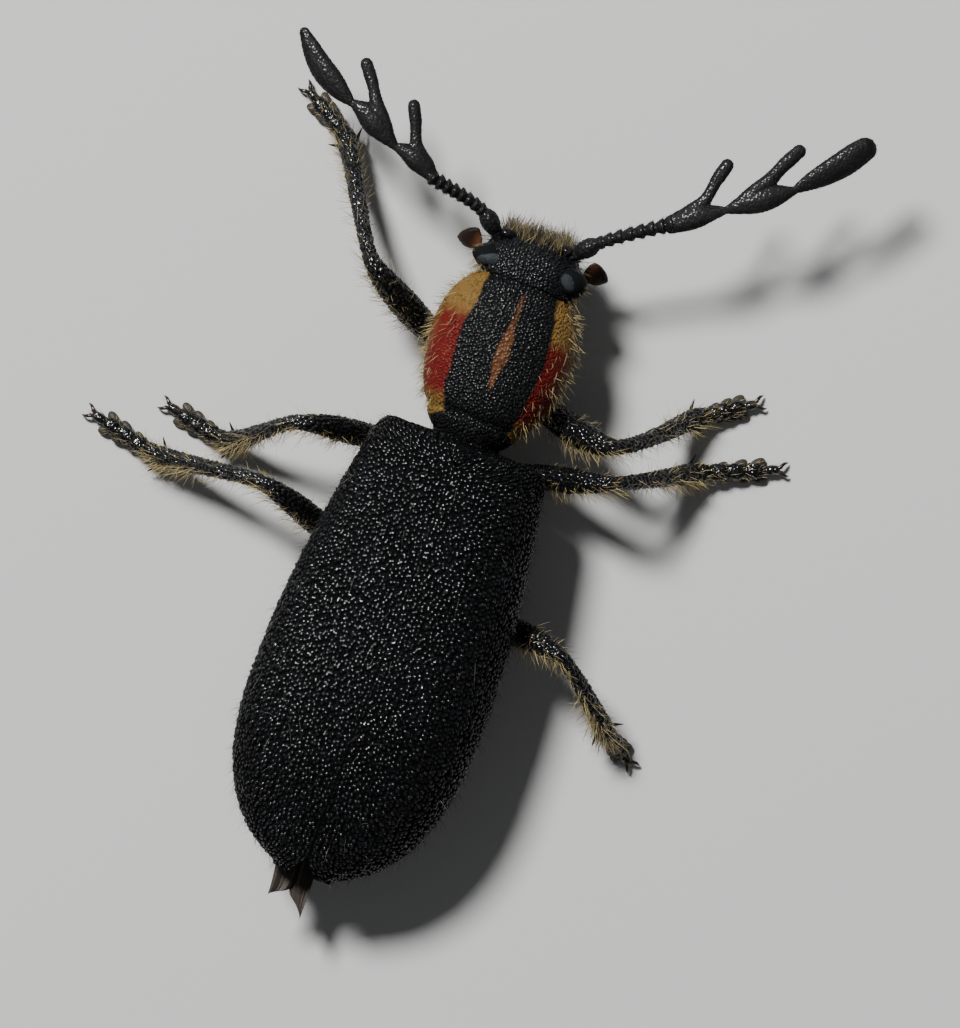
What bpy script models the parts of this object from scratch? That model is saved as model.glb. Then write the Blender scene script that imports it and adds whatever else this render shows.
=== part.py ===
"""A pilose checkered beetle as a still, life-size display model, standing on a flat floor.

Run it with: blender --background --python part.py
The beetle faces +Y, with +Z up and +X on its right. Shapes are drawn in millimetres and made
metres when each piece is finished, and the whole is then centred over the origin.
"""

import math

import bmesh
import bpy
from mathutils import Matrix, Vector
from mathutils.bvhtree import BVHTree

MM = 0.001
GAP = 0.10  # between pieces that touch, kept small because the legs are only 0.5 mm thick
SLIVER = 0.002  # what a union leaves that is smaller than this is merged away

# Heights above the floor
BELLY_Z = 1.05
SIDE_Z = 2.05  # the widest level of the wing cases
TOP_Z = 3.30

# Elytra, the two wing cases
ELYTRA_BASE_Y = 0.20
ELYTRA_TIP_Y = -7.86
SHOULDER_HALF = 1.52
ELYTRA_HALF = 2.07
WIDEST_AT = 0.58  # share of their length
ELYTRON_THICK = 0.50
ELYTRON_RIM = 0.27  # how far the side edge wraps below the widest level
ELYTRA_RINGS = 24
BACK_POWER = 2.3  # of the superellipse of their sections
TIP_HALF = 0.52
APEX_NOTCH = 0.20  # how far the two tips part
SCUTELLUM_HALF = 0.24
SCUTELLUM_LENGTH = 0.42

# Trunk under them
HIND_TRUNK_Y = -2.95  # where the thorax ends and the abdomen begins
ABDOMEN_TIP_Y = -7.35
BELLY_INSET = 0.20
VENTRITES = 6
VENTRITE_STEP = 0.06

# Pronotum
PRONOTUM_BACK_Y = ELYTRA_BASE_Y + GAP
PRONOTUM_FRONT_Y = 3.12
PRONOTUM_HALF = 1.27
PRONOTUM_WIDEST_Y = 2.00
PRONOTUM_BACK_HALF = 0.60
PRONOTUM_FRONT_HALF = 0.76
PRONOTUM_SIDE_Z = 1.90
PRONOTUM_TOP_Z = 2.85
PRONOTUM_BELLY_Z = 0.98

# Head
HEAD_BACK_Y = PRONOTUM_FRONT_Y + GAP
HEAD_FRONT_Y = 4.08
HEAD_HALF = 0.88
HEAD_TOP_Z = 2.55
HEAD_CHIN_Z = 1.12
LABRUM_HALF = 0.44
LABRUM_Z = 0.74
HEAD_TURN = math.tan(math.radians(4.0))  # the head looks a little to its left
EYE_CENTRE = (0.74, 3.48, 2.02)
EYE_HALF = (0.30, 0.23, 0.42)

# Hind wings, whose folded tips reach past the wing cases
WING_ROOT_Y = ABDOMEN_TIP_Y - GAP
WING_Z = 1.42
WING_THICK = 0.36

# Legs: half sizes of the hips, how far out each is cut for the thigh, and the limbs' radii
COXA_Z = 0.74
COXA_HALF = {"fore": (0.36, 0.40, 0.34), "mid": (0.36, 0.38, 0.34), "hind": (0.50, 0.27, 0.34)}
COXA_CUT = {"fore": 0.24, "mid": 0.24, "hind": 0.36}
FEMUR_Z = 0.66
FEMUR_RADII = (0.17, 0.20, 0.24, 0.26, 0.27, 0.26, 0.23, 0.20, 0.18)
LEG_SHARE = {"fore": 1.0, "mid": 0.88, "hind": 0.90}  # of those radii, for each pair of legs
TIBIA_RADII = (0.16, 0.15, 0.15, 0.16, 0.18, 0.19, 0.20)
TARSOMERES = 4
TARSOMERE_RADII = (0.12, 0.17, 0.19)
CLAW_SEGMENT = 1.5  # its length, in tarsomeres
TOE_Z = 0.16
CLAW_LENGTH = 0.26
CLAW_RADII = (0.07, 0.07, 0.06, 0.05, 0.03)
CLAW_TIP_Z = 0.04
SPUR_LENGTH = 0.30
LOBE_HALF = (0.14, 0.08, 0.09)  # of the two soft lobes under each segment of a foot
LOBE_DROP = 0.09

# Where each leg stands: hip, knee, ankle and toe, in mm from the middle of the wing cases' base
LEGS = {
    "foreleg_left": ("fore", (-0.42, 1.38), (-2.63, 2.60, 1.95), (-3.86, 4.51, 0.42), (-4.72, 5.03)),
    "foreleg_right": ("fore", (0.42, 1.38), (2.44, 1.05, 2.15), (3.68, 2.08, 0.42), (4.51, 2.64)),
    "midleg_left": ("mid", (-0.44, -0.12), (-2.82, -0.47, 2.15), (-3.94, -1.23, 0.42), (-5.06, -1.03)),
    "midleg_right": ("mid", (0.44, -0.12), (2.64, 0.44, 2.20), (3.99, 1.15, 0.42), (5.30, 1.71)),
    "hindleg_left": ("hind", (-0.55, -2.50), (-3.00, -1.70, 1.95), (-5.00, -1.90, 0.42), (-6.26, -1.63)),
    "hindleg_right": ("hind", (0.55, -2.50), (2.87, -2.69, 1.98), (4.14, -3.68, 0.80), (4.64, -4.00)),
}

# Antennae: where each is set on the head, its joints from elbow to tip, and its club's two spikes
ANTENNAE = {
    "left": {
        "aim": ((-1.40, 4.90, 2.30), (-0.42, 3.75, 1.95)),
        "elbow": (-1.10, 4.09, 2.20),
        "joints": ((-2.17, 4.34, 2.45), (-2.96, 4.61, 2.50), (-3.92, 5.06, 2.50), (-5.24, 5.99, 2.35)),
        "spikes": ((-2.95, 5.50, 2.45), (-4.00, 5.88, 2.40)),
    },
    "right": {
        "aim": ((1.30, 5.00, 2.30), (0.45, 3.80, 1.95)),
        "elbow": (0.93, 4.27, 2.20),
        "joints": ((2.05, 5.06, 2.45), (2.83, 5.61, 2.50), (3.81, 6.34, 2.50), (4.81, 7.54, 2.35)),
        "spikes": ((2.60, 6.47, 2.45), (3.72, 7.14, 2.40)),
    },
}
FUNICLE_BEADS = 7
BEAD_RADIUS = 0.17
BEAD_WAIST = 0.125
CLUB_RADII = ((0.17, 0.22, 0.21, 0.15), (0.15, 0.23, 0.23, 0.15), (0.15, 0.22, 0.25, 0.25, 0.20, 0.10))
SPIKE_RADII = (0.15, 0.18, 0.15, 0.11, 0.11, 0.08)
SCAPE_RADII = (0.14, 0.16, 0.19, 0.20, 0.19, 0.15)


def smooth(t):
    t = min(1.0, max(0.0, t))
    return t * t * (3.0 - 2.0 * t)


def lerp(a, b, t):
    return a + (b - a) * t


def spread(count):
    """count numbers from 0 to 1."""
    return [i / (count - 1) for i in range(count)]


def dome(t, power=2.0, root=2.0):
    """1 at t = 0, falling to 0 at t = 1 like the end of a superellipse."""
    t = min(1.0, max(0.0, t))
    return (1.0 - t**power) ** (1.0 / root)


def clear_scene():
    for obj in list(bpy.data.objects):
        bpy.data.objects.remove(obj, do_unlink=True)


def new_collection(name, shown=True):
    collection = bpy.data.collections.new(name)
    bpy.context.scene.collection.children.link(collection)
    collection.hide_render = not shown
    return collection


def new_material(name, colour, roughness):
    made = bpy.data.materials.new(name)
    made.use_nodes = True
    shader = made.node_tree.nodes["Principled BSDF"]
    shader.inputs["Base Color"].default_value = (*colour, 1.0)
    shader.inputs["Roughness"].default_value = roughness
    return made


def closed(bm, name):
    """A new object from a bmesh, with its faces pointing out."""
    bmesh.ops.recalc_face_normals(bm, faces=bm.faces)
    if bm.calc_volume(signed=True) < 0:
        bmesh.ops.reverse_faces(bm, faces=bm.faces)
    mesh = bpy.data.meshes.new(name)
    bm.to_mesh(mesh)
    bm.free()
    return bpy.data.objects.new(name, mesh)


def loft(name, rings):
    """A closed surface through rings of equal numbers of points, with a flat cap at each end."""
    bm = bmesh.new()
    loops = [[bm.verts.new(point) for point in ring] for ring in rings]
    count = len(loops[0])
    for one, other in zip(loops, loops[1:]):
        for i in range(count):
            j = (i + 1) % count
            bm.faces.new((one[i], one[j], other[j], other[i]))
    bm.faces.new(loops[0][::-1])
    bm.faces.new(loops[-1])
    return closed(bm, name)


def ellipsoid(name, centre, half, segments=16, rings=10):
    bm = bmesh.new()
    bmesh.ops.create_uvsphere(bm, u_segments=segments, v_segments=rings, radius=1.0)
    for vert in bm.verts:
        vert.co = [c + h * v for c, h, v in zip(centre, half, vert.co)]
    return closed(bm, name)


def tube(name, points, radii, roundness=2):
    """A limb: a bevelled curve with its own radius at each point, made a closed mesh."""
    curve = bpy.data.curves.new(name, "CURVE")
    curve.dimensions = "3D"
    curve.bevel_depth = 1.0
    curve.bevel_resolution = roundness
    curve.use_fill_caps = True
    spline = curve.splines.new("POLY")
    spline.points.add(len(points) - 1)
    for knot, point, radius in zip(spline.points, points, radii):
        knot.co = (*point, 1.0)
        knot.radius = radius
    drawn = bpy.data.objects.new(name, curve)
    bpy.context.scene.collection.objects.link(drawn)
    bpy.context.view_layer.update()
    graph = bpy.context.evaluated_depsgraph_get()
    mesh = bpy.data.meshes.new_from_object(drawn.evaluated_get(graph))
    bpy.data.objects.remove(drawn)
    bpy.data.curves.remove(curve)
    bm = bmesh.new()
    bm.from_mesh(mesh)
    bpy.data.meshes.remove(mesh)
    bmesh.ops.remove_doubles(bm, verts=bm.verts, dist=0.0001)
    return closed(bm, name)


def with_modifier(obj, kind, operand):
    """Applies one Boolean to obj with the EXACT solver."""
    home = bpy.context.scene.collection
    home.objects.link(obj)
    change = obj.modifiers.new("change", "BOOLEAN")
    change.operation = kind
    change.solver = "EXACT"
    if isinstance(operand, bpy.types.Collection):
        change.operand_type = "COLLECTION"
        change.collection = operand
    else:
        change.object = operand
    bpy.context.view_layer.update()
    graph = bpy.context.evaluated_depsgraph_get()
    mesh = bpy.data.meshes.new_from_object(obj.evaluated_get(graph))
    obj.modifiers.clear()
    obj.data = mesh
    home.objects.unlink(obj)
    return obj


def largest_only(obj):
    """Keeps the largest closed surface that fusing has left, without its slivers, in triangles."""
    bm = bmesh.new()
    bm.from_mesh(obj.data)
    left, islands = set(bm.verts), []
    while left:
        stack, island = [left.pop()], []
        while stack:
            vert = stack.pop()
            island.append(vert)
            near = {edge.other_vert(vert) for edge in vert.link_edges} & left
            left -= near
            stack.extend(near)
        islands.append(island)
    islands.sort(key=len)
    bmesh.ops.delete(bm, geom=[v for island in islands[:-1] for v in island], context="VERTS")
    bmesh.ops.remove_doubles(bm, verts=bm.verts, dist=SLIVER)
    bmesh.ops.dissolve_degenerate(bm, dist=SLIVER, edges=bm.edges)
    bmesh.ops.triangulate(bm, faces=bm.faces)
    bm.to_mesh(obj.data)
    bm.free()
    return obj


def united(obj, others):
    """Joins closed meshes to obj by one Boolean union and removes them."""
    pieces = new_collection(obj.name + "_pieces", shown=False)
    for other in others:
        pieces.objects.link(other)
    with_modifier(obj, "UNION", pieces)
    for other in others:
        bpy.data.objects.remove(other)
    bpy.data.collections.remove(pieces)
    return largest_only(obj)


def cut_by(obj, cutter):
    """Takes the cutter's space out of obj and removes the cutter."""
    home = bpy.context.scene.collection
    home.objects.link(cutter)
    with_modifier(obj, "DIFFERENCE", cutter)
    bpy.data.objects.remove(cutter)
    return obj


def trimmed(obj, point, normal):
    """Cuts off what lies past a plane and closes the cut with a flat face."""
    bm = bmesh.new()
    bm.from_mesh(obj.data)
    cut = bmesh.ops.bisect_plane(bm, geom=bm.verts[:] + bm.edges[:] + bm.faces[:], dist=0.0001,
                                 plane_co=point, plane_no=normal, clear_outer=True)
    edges = [item for item in cut["geom_cut"] if isinstance(item, bmesh.types.BMEdge)]
    bmesh.ops.contextual_create(bm, geom=edges)
    bm.to_mesh(obj.data)
    bm.free()
    return obj


def on_floor(obj):
    """Presses whatever is below the floor flat on it, which leaves a small sole."""
    for vert in obj.data.vertices:
        vert.co.z = max(vert.co.z, 0.0)
    return obj


def surface(obj, start, towards):
    """Where a line meets obj, and the surface's normal there."""
    mesh = obj.data
    tree = BVHTree.FromPolygons([v.co for v in mesh.vertices], [p.vertices for p in mesh.polygons])
    start, towards = Vector(start), Vector(towards)
    place, normal, _, _ = tree.ray_cast(start, (towards - start).normalized())
    return place, normal


def squared(points, start_way, end_way=None):
    """Moves the points next to the ends, so that a limb's end faces are square to the given directions."""
    points[1] = points[0] + start_way * (points[1] - points[0]).length
    if end_way:
        points[-2] = points[-1] - end_way * (points[-1] - points[-2]).length
    return points


def bend(start, end, start_way, end_way, shares, start_reach=0.3, end_reach=0.3):
    """Points at the given shares of a curve that leaves and arrives along the given directions."""
    start, end = Vector(start), Vector(end)
    one, two = start + start_way * start_reach, end - end_way * end_reach
    points = []
    for t in shares:
        u = 1.0 - t
        points.append(start * u**3 + one * 3 * u * u * t + two * 3 * u * t * t + end * t**3)
    return squared(points, start_way, end_way)


def through(knots, shares):
    """Points at the given shares of a smooth curve through all the knots."""
    knots = [Vector(k) for k in knots]
    ends = [2 * knots[0] - knots[1]] + knots + [2 * knots[-1] - knots[-2]]
    spans = len(knots) - 1
    points = []
    for share in shares:
        i = min(spans - 1, int(share * spans))
        t = share * spans - i
        a, b, c, d = ends[i:i + 4]
        points.append(0.5 * (2 * b + (c - a) * t + (2 * a - 5 * b + 4 * c - d) * t * t
                             + (3 * b - 3 * c + d - a) * t**3))
    return points


def way(a, b):
    """The direction from one point to another."""
    return (Vector(b) - Vector(a)).normalized()


def between(before, at, after):
    """The direction square to the two faces of a joint: the mean of the limbs' directions."""
    return (way(before, at) + way(at, after)).normalized()


def superarc(half, height, power, start, end, count):
    """Points (x, z) of a superellipse from start to end degrees, where 0 is up and 90 is +X."""
    points = []
    for share in spread(count):
        angle = math.radians(lerp(start, end, share))
        x, z = math.sin(angle), math.cos(angle)
        points.append((math.copysign(half * abs(x) ** (2.0 / power), x),
                       math.copysign(height * abs(z) ** (2.0 / power), z)))
    return points


def oval(half, top, level, bottom, over_power, under_power, count):
    """A closed section whose upper and lower halves differ, from -X over the top to +X and back."""
    over = [(x, level + z) for x, z in superarc(half, top - level, over_power, -90, 90, count)]
    under = [(x, level + z) for x, z in superarc(half, level - bottom, under_power, 90, 270, count)]
    return over + under[1:-1]


def elytra_half(t):
    shoulder = lerp(0.87, 1.0, dome(1.0 - min(1.0, t / 0.05), 2.2, 2.0))
    front = lerp(SHOULDER_HALF, ELYTRA_HALF, math.sin(0.5 * math.pi * min(1.0, t / WIDEST_AT)))
    back = dome((t - WIDEST_AT) / (1.0 - WIDEST_AT), 2.6, 2.0)
    return max(TIP_HALF, shoulder * front * back)


def elytra_height(t):
    """How far the back rises over the widest level."""
    front = lerp(0.52, 1.0, dome(1.0 - min(1.0, t / 0.30), 2.0, 2.0))
    back = max(0.28, dome((t - 0.45) / 0.57, 2.6, 1.7))
    return (TOP_Z - SIDE_Z) * front * back


def elytra_level(t):
    return SIDE_Z - 0.22 * smooth((t - 0.6) / 0.4)


def elytra_wall(t):
    return min(ELYTRON_THICK, 0.60 * elytra_height(t), 0.60 * elytra_half(t))


def elytra_rim(t):
    return ELYTRON_RIM * (1.0 - 0.6 * smooth((t - 0.80) / 0.20))


def scutellum_half(back):
    """Half the shield's width at a share of its length behind the wing cases' base."""
    return SCUTELLUM_HALF * dome(back, 1.6, 1.3)


def suture_angle(share):
    """Where on a section's arch, in degrees from the top, its width is this share of the whole."""
    return math.degrees(math.asin(share ** (0.5 * BACK_POWER)))


def elytron(name, side):
    """One wing case: a shell from the suture down round the side, with its edge turned under."""
    rings = []
    for share in spread(ELYTRA_RINGS):
        t = 0.5 - 0.5 * math.cos(math.pi * share)
        y = lerp(ELYTRA_BASE_Y, ELYTRA_TIP_Y, t)
        half, height, level = elytra_half(t), elytra_height(t), elytra_level(t)
        wall, rim = elytra_wall(t), elytra_rim(t)
        shield = (ELYTRA_BASE_Y - y) / (SCUTELLUM_LENGTH + GAP)
        inner = 0.5 * GAP + APEX_NOTCH * smooth((t - 0.955) / 0.045)
        if shield < 1.0:
            inner = GAP + scutellum_half(shield)
        outside = superarc(half, height, BACK_POWER, suture_angle(inner / half), 90, 9)
        core = half - wall
        edge = [(half - 0.04, -0.6 * rim), (half - 0.16, -rim), (core, -rim)]
        inside = superarc(core, height - wall, BACK_POWER, 90, suture_angle(inner / core), 7)
        rings.append([(side * x, y, level + z) for x, z in outside + edge + inside])
    return loft(name, rings)


def scutellum():
    """The small shield between the wing cases' bases."""
    rings = []
    for share in spread(6):
        t = share * SCUTELLUM_LENGTH / (ELYTRA_BASE_Y - ELYTRA_TIP_Y)
        y = ELYTRA_BASE_Y - share * SCUTELLUM_LENGTH
        top = elytra_level(t) + elytra_height(t)
        bottom = top - elytra_wall(t)
        half = max(0.06, scutellum_half(share))
        ring = [(-half, bottom), (-half, top - 0.06), (-0.6 * half, top), (0.6 * half, top),
                (half, top - 0.06), (half, bottom)]
        rings.append([(x, y, z) for x, z in ring])
    return loft("scutellum", rings)


def trunk_ring(y, bottom, inset):
    """A section that fills the wing cases from below and steps out under their edges."""
    t = (ELYTRA_BASE_Y - y) / (ELYTRA_BASE_Y - ELYTRA_TIP_Y)
    half, height, level, wall = elytra_half(t), elytra_height(t), elytra_level(t), elytra_wall(t) + GAP
    step = level - elytra_rim(t) - GAP
    back = [(x, level + z) for x, z in superarc(half - wall, height - wall, BACK_POWER, -90, 90, 11)]
    belly = [(x, step + z) for x, z in superarc(half - inset, step - bottom, 2.0, 90, 270, 13)]
    return [(x, y, z) for x, z in [(wall - half, step)] + back + [(half - wall, step)] + belly]


def pterothorax():
    """The two rear parts of the thorax, which carry the wings and four of the legs."""
    rings = []
    for share in spread(9):
        y = lerp(ELYTRA_BASE_Y, HIND_TRUNK_Y, share)
        rings.append(trunk_ring(y, BELLY_Z + 0.10 * (1.0 - smooth(share / 0.3)), BELLY_INSET))
    return loft("pterothorax", rings)


def abdomen():
    """The abdomen, whose belly plates each step out over the next."""
    start = HIND_TRUNK_Y - GAP
    rings = []
    for plate in range(VENTRITES):
        for along in (0.03, 0.5, 0.97):
            share = (plate + along) / VENTRITES
            step = VENTRITE_STEP * (1.0 - along)
            bottom = BELLY_Z + 0.20 * smooth((share - 0.35) / 0.65) + step
            rings.append(trunk_ring(lerp(start, ABDOMEN_TIP_Y, share), bottom, BELLY_INSET + step))
    return loft("abdomen", rings)


def pronotum():
    """The neck shield with the forelegs' segment below it, widest ahead of its middle."""
    rings = []
    for share in spread(15):
        y = lerp(PRONOTUM_BACK_Y, PRONOTUM_FRONT_Y, share)
        if y < PRONOTUM_WIDEST_Y:
            back = (PRONOTUM_WIDEST_Y - y) / (PRONOTUM_WIDEST_Y - PRONOTUM_BACK_Y)
            half = lerp(PRONOTUM_BACK_HALF, PRONOTUM_HALF, dome(back, 1.9, 1.25))
        else:
            front = (y - PRONOTUM_WIDEST_Y) / (PRONOTUM_FRONT_Y - PRONOTUM_WIDEST_Y)
            half = lerp(PRONOTUM_FRONT_HALF, PRONOTUM_HALF, dome(front, 2.2, 1.6))
        top = PRONOTUM_TOP_Z - 0.34 * abs(2 * share - 1.05) ** 2.6
        bottom = PRONOTUM_BELLY_Z + 0.22 * abs(2 * share - 0.9) ** 3.0
        section = oval(half, top, PRONOTUM_SIDE_Z, bottom, 2.1, 1.9, 12)
        rings.append([(x, y, z) for x, z in section])
    return loft("pronotum", rings)


def turned(point):
    """Turns a point of a straight head, whose back stays square to the pronotum."""
    x, y, z = point
    ahead = y - HEAD_BACK_Y
    return (x - HEAD_TURN * ahead, y + HEAD_TURN * x * smooth(ahead / 0.4), z)


def eye(name, side, grow=0.0):
    x, y, z = EYE_CENTRE
    return ellipsoid(name, turned((side * x, y, z)), [half + grow for half in EYE_HALF], 14, 10)


def head():
    """The capsule with a flat crown, a steep face and a socket for each eye."""
    rings = []
    for share in spread(10):
        along = 1.0 - (1.0 - share) ** 1.6
        y = lerp(HEAD_BACK_Y, HEAD_FRONT_Y, along)
        half = HEAD_HALF * lerp(0.50, 1.0, dome(along, 2.6, 1.8)) * lerp(0.93, 1.0, smooth(along / 0.3))
        top = lerp(1.62, HEAD_TOP_Z, dome(along, 2.3, 1.5))
        bottom = HEAD_CHIN_Z + 0.08 * (1.0 - smooth(along / 0.3))
        section = oval(half, top, lerp(bottom, top, 0.5), bottom, 2.3, 2.6, 10)
        rings.append([turned((x, y, z)) for x, z in section])
    capsule = loft("head", rings)
    for side in (-1, 1):
        cut_by(capsule, eye("socket", side, GAP))
    return capsule


def labrum():
    """The upper lip, a short flap that hangs under the front of the face."""
    rings = []
    for share in spread(5):
        half = LABRUM_HALF * lerp(1.0, 0.62, share**2)
        z = lerp(HEAD_CHIN_Z - GAP, LABRUM_Z, share)
        outline = ((-half, 3.94), (half, 3.94), (half, 4.05), (0.6 * half, 4.11), (-0.6 * half, 4.11),
                   (-half, 4.05))
        rings.append([turned((x, y, z)) for x, y in outline])
    return loft("labrum", rings)


def feeler(name, host, aim, knots, radii):
    """A limb that stands square on its host where the aim line meets it, and runs through the knots."""
    place, normal = surface(host, *aim)
    route = [place + GAP * normal, place + (GAP + 0.12) * normal, *knots]
    return tube(name, squared(through(route, spread(len(radii))), normal), radii)


def mouthparts(capsule):
    """Jaws and the two pairs of feelers of the mouth, which end in broad blades."""
    made = []
    for side, word in ((-1, "left"), (1, "right")):
        def at(x, y, z):
            return turned((side * x, y, z))
        made.append(feeler("mandible_" + word, capsule, (at(0.42, 3.66, 0.2), at(0.42, 3.66, 1.6)),
                           (at(0.43, 3.72, 0.80), at(0.34, 3.78, 0.62), at(0.08, 3.88, 0.53)),
                           (0.17, 0.18, 0.18, 0.17, 0.14, 0.10, 0.05)))
        made.append(feeler("maxillary_palp_" + word, capsule, (at(1.30, 3.36, 0.8), at(0.2, 3.36, 1.60)),
                           (at(0.96, 3.42, 1.04), at(1.08, 3.56, 1.08), at(1.26, 3.74, 1.18)),
                           (0.14, 0.15, 0.13, 0.16, 0.13, 0.14, 0.18, 0.22)))
        made.append(feeler("labial_palp_" + word, capsule, (at(0.17, 3.36, 0.2), at(0.17, 3.36, 1.6)),
                           (at(0.18, 3.38, 0.80), at(0.21, 3.41, 0.62)),
                           (0.11, 0.12, 0.10, 0.12, 0.14, 0.15)))
    return made


def antenna(side_name, capsule):
    """Scape, funicle of small beads, and a club of two spiked segments and a long oval one."""
    shape = ANTENNAE[side_name]
    base = "antenna_" + side_name
    elbow, joints = Vector(shape["elbow"]), [Vector(joint) for joint in shape["joints"]]
    place, normal = surface(capsule, *shape["aim"])
    root = place + GAP * normal
    turn = between(root, elbow, joints[0])
    scape = bend(root, elbow - 0.5 * GAP * turn, normal, turn, spread(len(SCAPE_RADII)), 0.2, 0.2)
    made = [tube(base + "_scape", scape, SCAPE_RADII)]

    first = between(elbow, joints[0], joints[1])
    shares = spread(2 * FUNICLE_BEADS + 1)
    funicle = bend(elbow + 0.5 * GAP * turn, joints[0] - 0.5 * GAP * first, turn, first, shares, 0.4, 0.4)
    radii = [BEAD_RADIUS if number % 2 else BEAD_WAIST for number in range(len(shares))]
    made.append(tube(base + "_funicle", funicle, radii))

    for number, radii in enumerate(CLUB_RADII):
        start, end = joints[number], joints[number + 1]
        before = joints[number - 1] if number else elbow
        start_way = between(before, start, end)
        last = number + 1 == len(CLUB_RADII)
        end_way = way(start, end) if last else between(start, end, joints[number + 2])
        start = start + 0.5 * GAP * start_way
        end = end if last else end - 0.5 * GAP * end_way
        name = base + "_club_" + str(number + 1)
        segment = tube(name, bend(start, end, start_way, end_way, spread(len(radii)), 0.15, 0.15), radii, 3)
        if not last:
            tip = Vector(shape["spikes"][number])
            root = start.lerp(end, 0.30)
            swing = root.lerp(tip, 0.45) - 0.06 * way(start, end)
            spike = tube("spike", through((root, swing, tip), spread(len(SPIKE_RADII))), SPIKE_RADII)
            united(segment, [spike])
        made.append(segment)
    return made


def hindwing_tip(name, side, tip):
    """A folded wing's point, a flat blade with a raised vein, coming out under the wing cases."""
    rings = []
    for share in spread(7):
        y = lerp(WING_ROOT_Y, tip[1], share)
        half = 0.24 * lerp(0.16, 1.0, dome(share, 2.0, 1.4))
        middle = lerp(side * 0.31, tip[0], smooth(share))
        thick = 0.5 * WING_THICK * lerp(1.0, 0.35, share)
        outline = ((-1.0, 0.0), (-0.6, 0.8), (-0.15, 0.8), (0.0, 1.0), (0.15, 0.8), (0.6, 0.8), (1.0, 0.0),
                   (0.6, -0.8), (-0.6, -0.8))
        rings.append([(middle + half * x, y, WING_Z + thick * z) for x, z in outline])
    return loft(name, rings)


def leg(name, pair, hip, knee, ankle, toe):
    """Hip, thigh, shin and foot of one leg."""
    hip, knee = Vector((*hip, COXA_Z)), Vector(knee)
    ankle, toe = Vector(ankle), Vector((*toe, TOE_Z))
    out = way(hip, (knee.x, knee.y, COXA_Z))

    coxa = ellipsoid(name + "_coxa", hip, COXA_HALF[pair])
    trimmed(coxa, (0.0, 0.0, min(BELLY_Z, PRONOTUM_BELLY_Z) - GAP), (0.0, 0.0, 1.0))
    face = hip + COXA_CUT[pair] * out
    trimmed(coxa, face, out)

    start = face + GAP * out
    start.z = FEMUR_Z
    fold = between(start, knee, ankle)
    end = knee - 0.5 * GAP * fold
    radii = [radius * LEG_SHARE[pair] for radius in FEMUR_RADII]
    femur = tube(name + "_femur", bend(start, end, out, fold, spread(len(radii)), 0.9, 0.5), radii, 3)

    start = knee + 0.5 * GAP * fold
    step = between(knee, ankle, toe)
    end = ankle - 0.5 * GAP * step
    tibia = tube(name + "_tibia", bend(start, end, fold, step, spread(len(TIBIA_RADII)), 0.45, 0.35),
                 TIBIA_RADII, 3)
    for side in (-1, 1):
        across = side * step.cross(Vector((0.0, 0.0, 1.0))).normalized()
        root = end - 0.18 * step + 0.10 * across
        spur = root + SPUR_LENGTH * (0.55 * step + 0.80 * across - Vector((0.0, 0.0, 0.35)))
        united(tibia, [tube("spur", through((root, spur), spread(3)), (0.09, 0.06, 0.02), 0)])

    return [coxa, femur, tibia, foot(name + "_tarsus", ankle + 0.5 * GAP * step, toe, step)]


def lobe(place, along, across):
    """One soft lobe, an ellipsoid laid out along the foot and splayed a little."""
    made = ellipsoid("lobe", (0.0, 0.0, 0.0), LOBE_HALF, 7, 5)
    lie = (along + 0.45 * across).normalized()
    aside = Vector((0.0, 0.0, 1.0)).cross(lie).normalized()
    frame = Matrix((lie, aside, lie.cross(aside))).transposed().to_4x4()
    made.data.transform(Matrix.Translation(place) @ frame)
    return made


def foot(name, start, toe, step):
    """A foot of segments with paired lobes, standing on flattened soles and ending in two claws."""
    flat = way((start.x, start.y, toe.z), toe)
    across = flat.cross(Vector((0.0, 0.0, 1.0)))
    segments = TARSOMERES + CLAW_SEGMENT
    shares, radii = [], []
    for number in range(TARSOMERES):
        shares += [(number + along) / segments for along in (0.0, 0.55, 0.92)]
        radii += TARSOMERE_RADII
    shares += [(TARSOMERES + along) / segments for along in (0.05, CLAW_SEGMENT)]
    radii += [0.10, 0.10]
    route = bend(start, toe, step, flat, shares, 0.25, 0.25)
    pieces = []
    for number in range(TARSOMERES):
        end, along = route[3 * number + 2], way(route[3 * number + 1], route[3 * number + 2])
        for side in (-1, 1):
            pieces.append(lobe(end + 0.13 * side * across + 0.02 * along - Vector((0.0, 0.0, LOBE_DROP)),
                               along, side * across))
    for side in (-1, 1):
        root = toe - 0.16 * flat
        middle = root + 0.6 * CLAW_LENGTH * (flat + 0.75 * side * across).normalized()
        middle.z += 0.03
        tip = root + 1.25 * CLAW_LENGTH * (flat + 0.35 * side * across).normalized()
        tip.z = CLAW_TIP_Z
        pieces.append(tube("claw", through((root, middle, tip), spread(5)), CLAW_RADII, 0))
    return on_floor(united(tube(name, route, radii), pieces))


FINISHES = {
    "eye": ((0.030, 0.028, 0.030), 0.25),
    "elytron": ((0.012, 0.013, 0.016), 0.30),
    "scutellum": ((0.012, 0.013, 0.016), 0.30),
    "pronotum": ((0.420, 0.090, 0.030), 0.40),
    "hindwing": ((0.200, 0.180, 0.160), 0.35),
    "maxillary": ((0.060, 0.020, 0.012), 0.35),
    "labial": ((0.060, 0.020, 0.012), 0.35),
}
PLAIN_FINISH = ((0.014, 0.013, 0.013), 0.35)


def complete(obj, collection):
    """Gives a piece its own material, makes it metres and shows it."""
    colour, roughness = FINISHES.get(obj.name.split("_")[0], PLAIN_FINISH)
    mesh = obj.data
    mesh.materials.clear()
    mesh.materials.append(new_material(obj.name, colour, roughness))
    mesh.transform(Matrix.Scale(MM, 4))
    mesh.shade_smooth()
    mesh.set_sharp_from_angle(angle=math.radians(40))
    collection.objects.link(obj)


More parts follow.
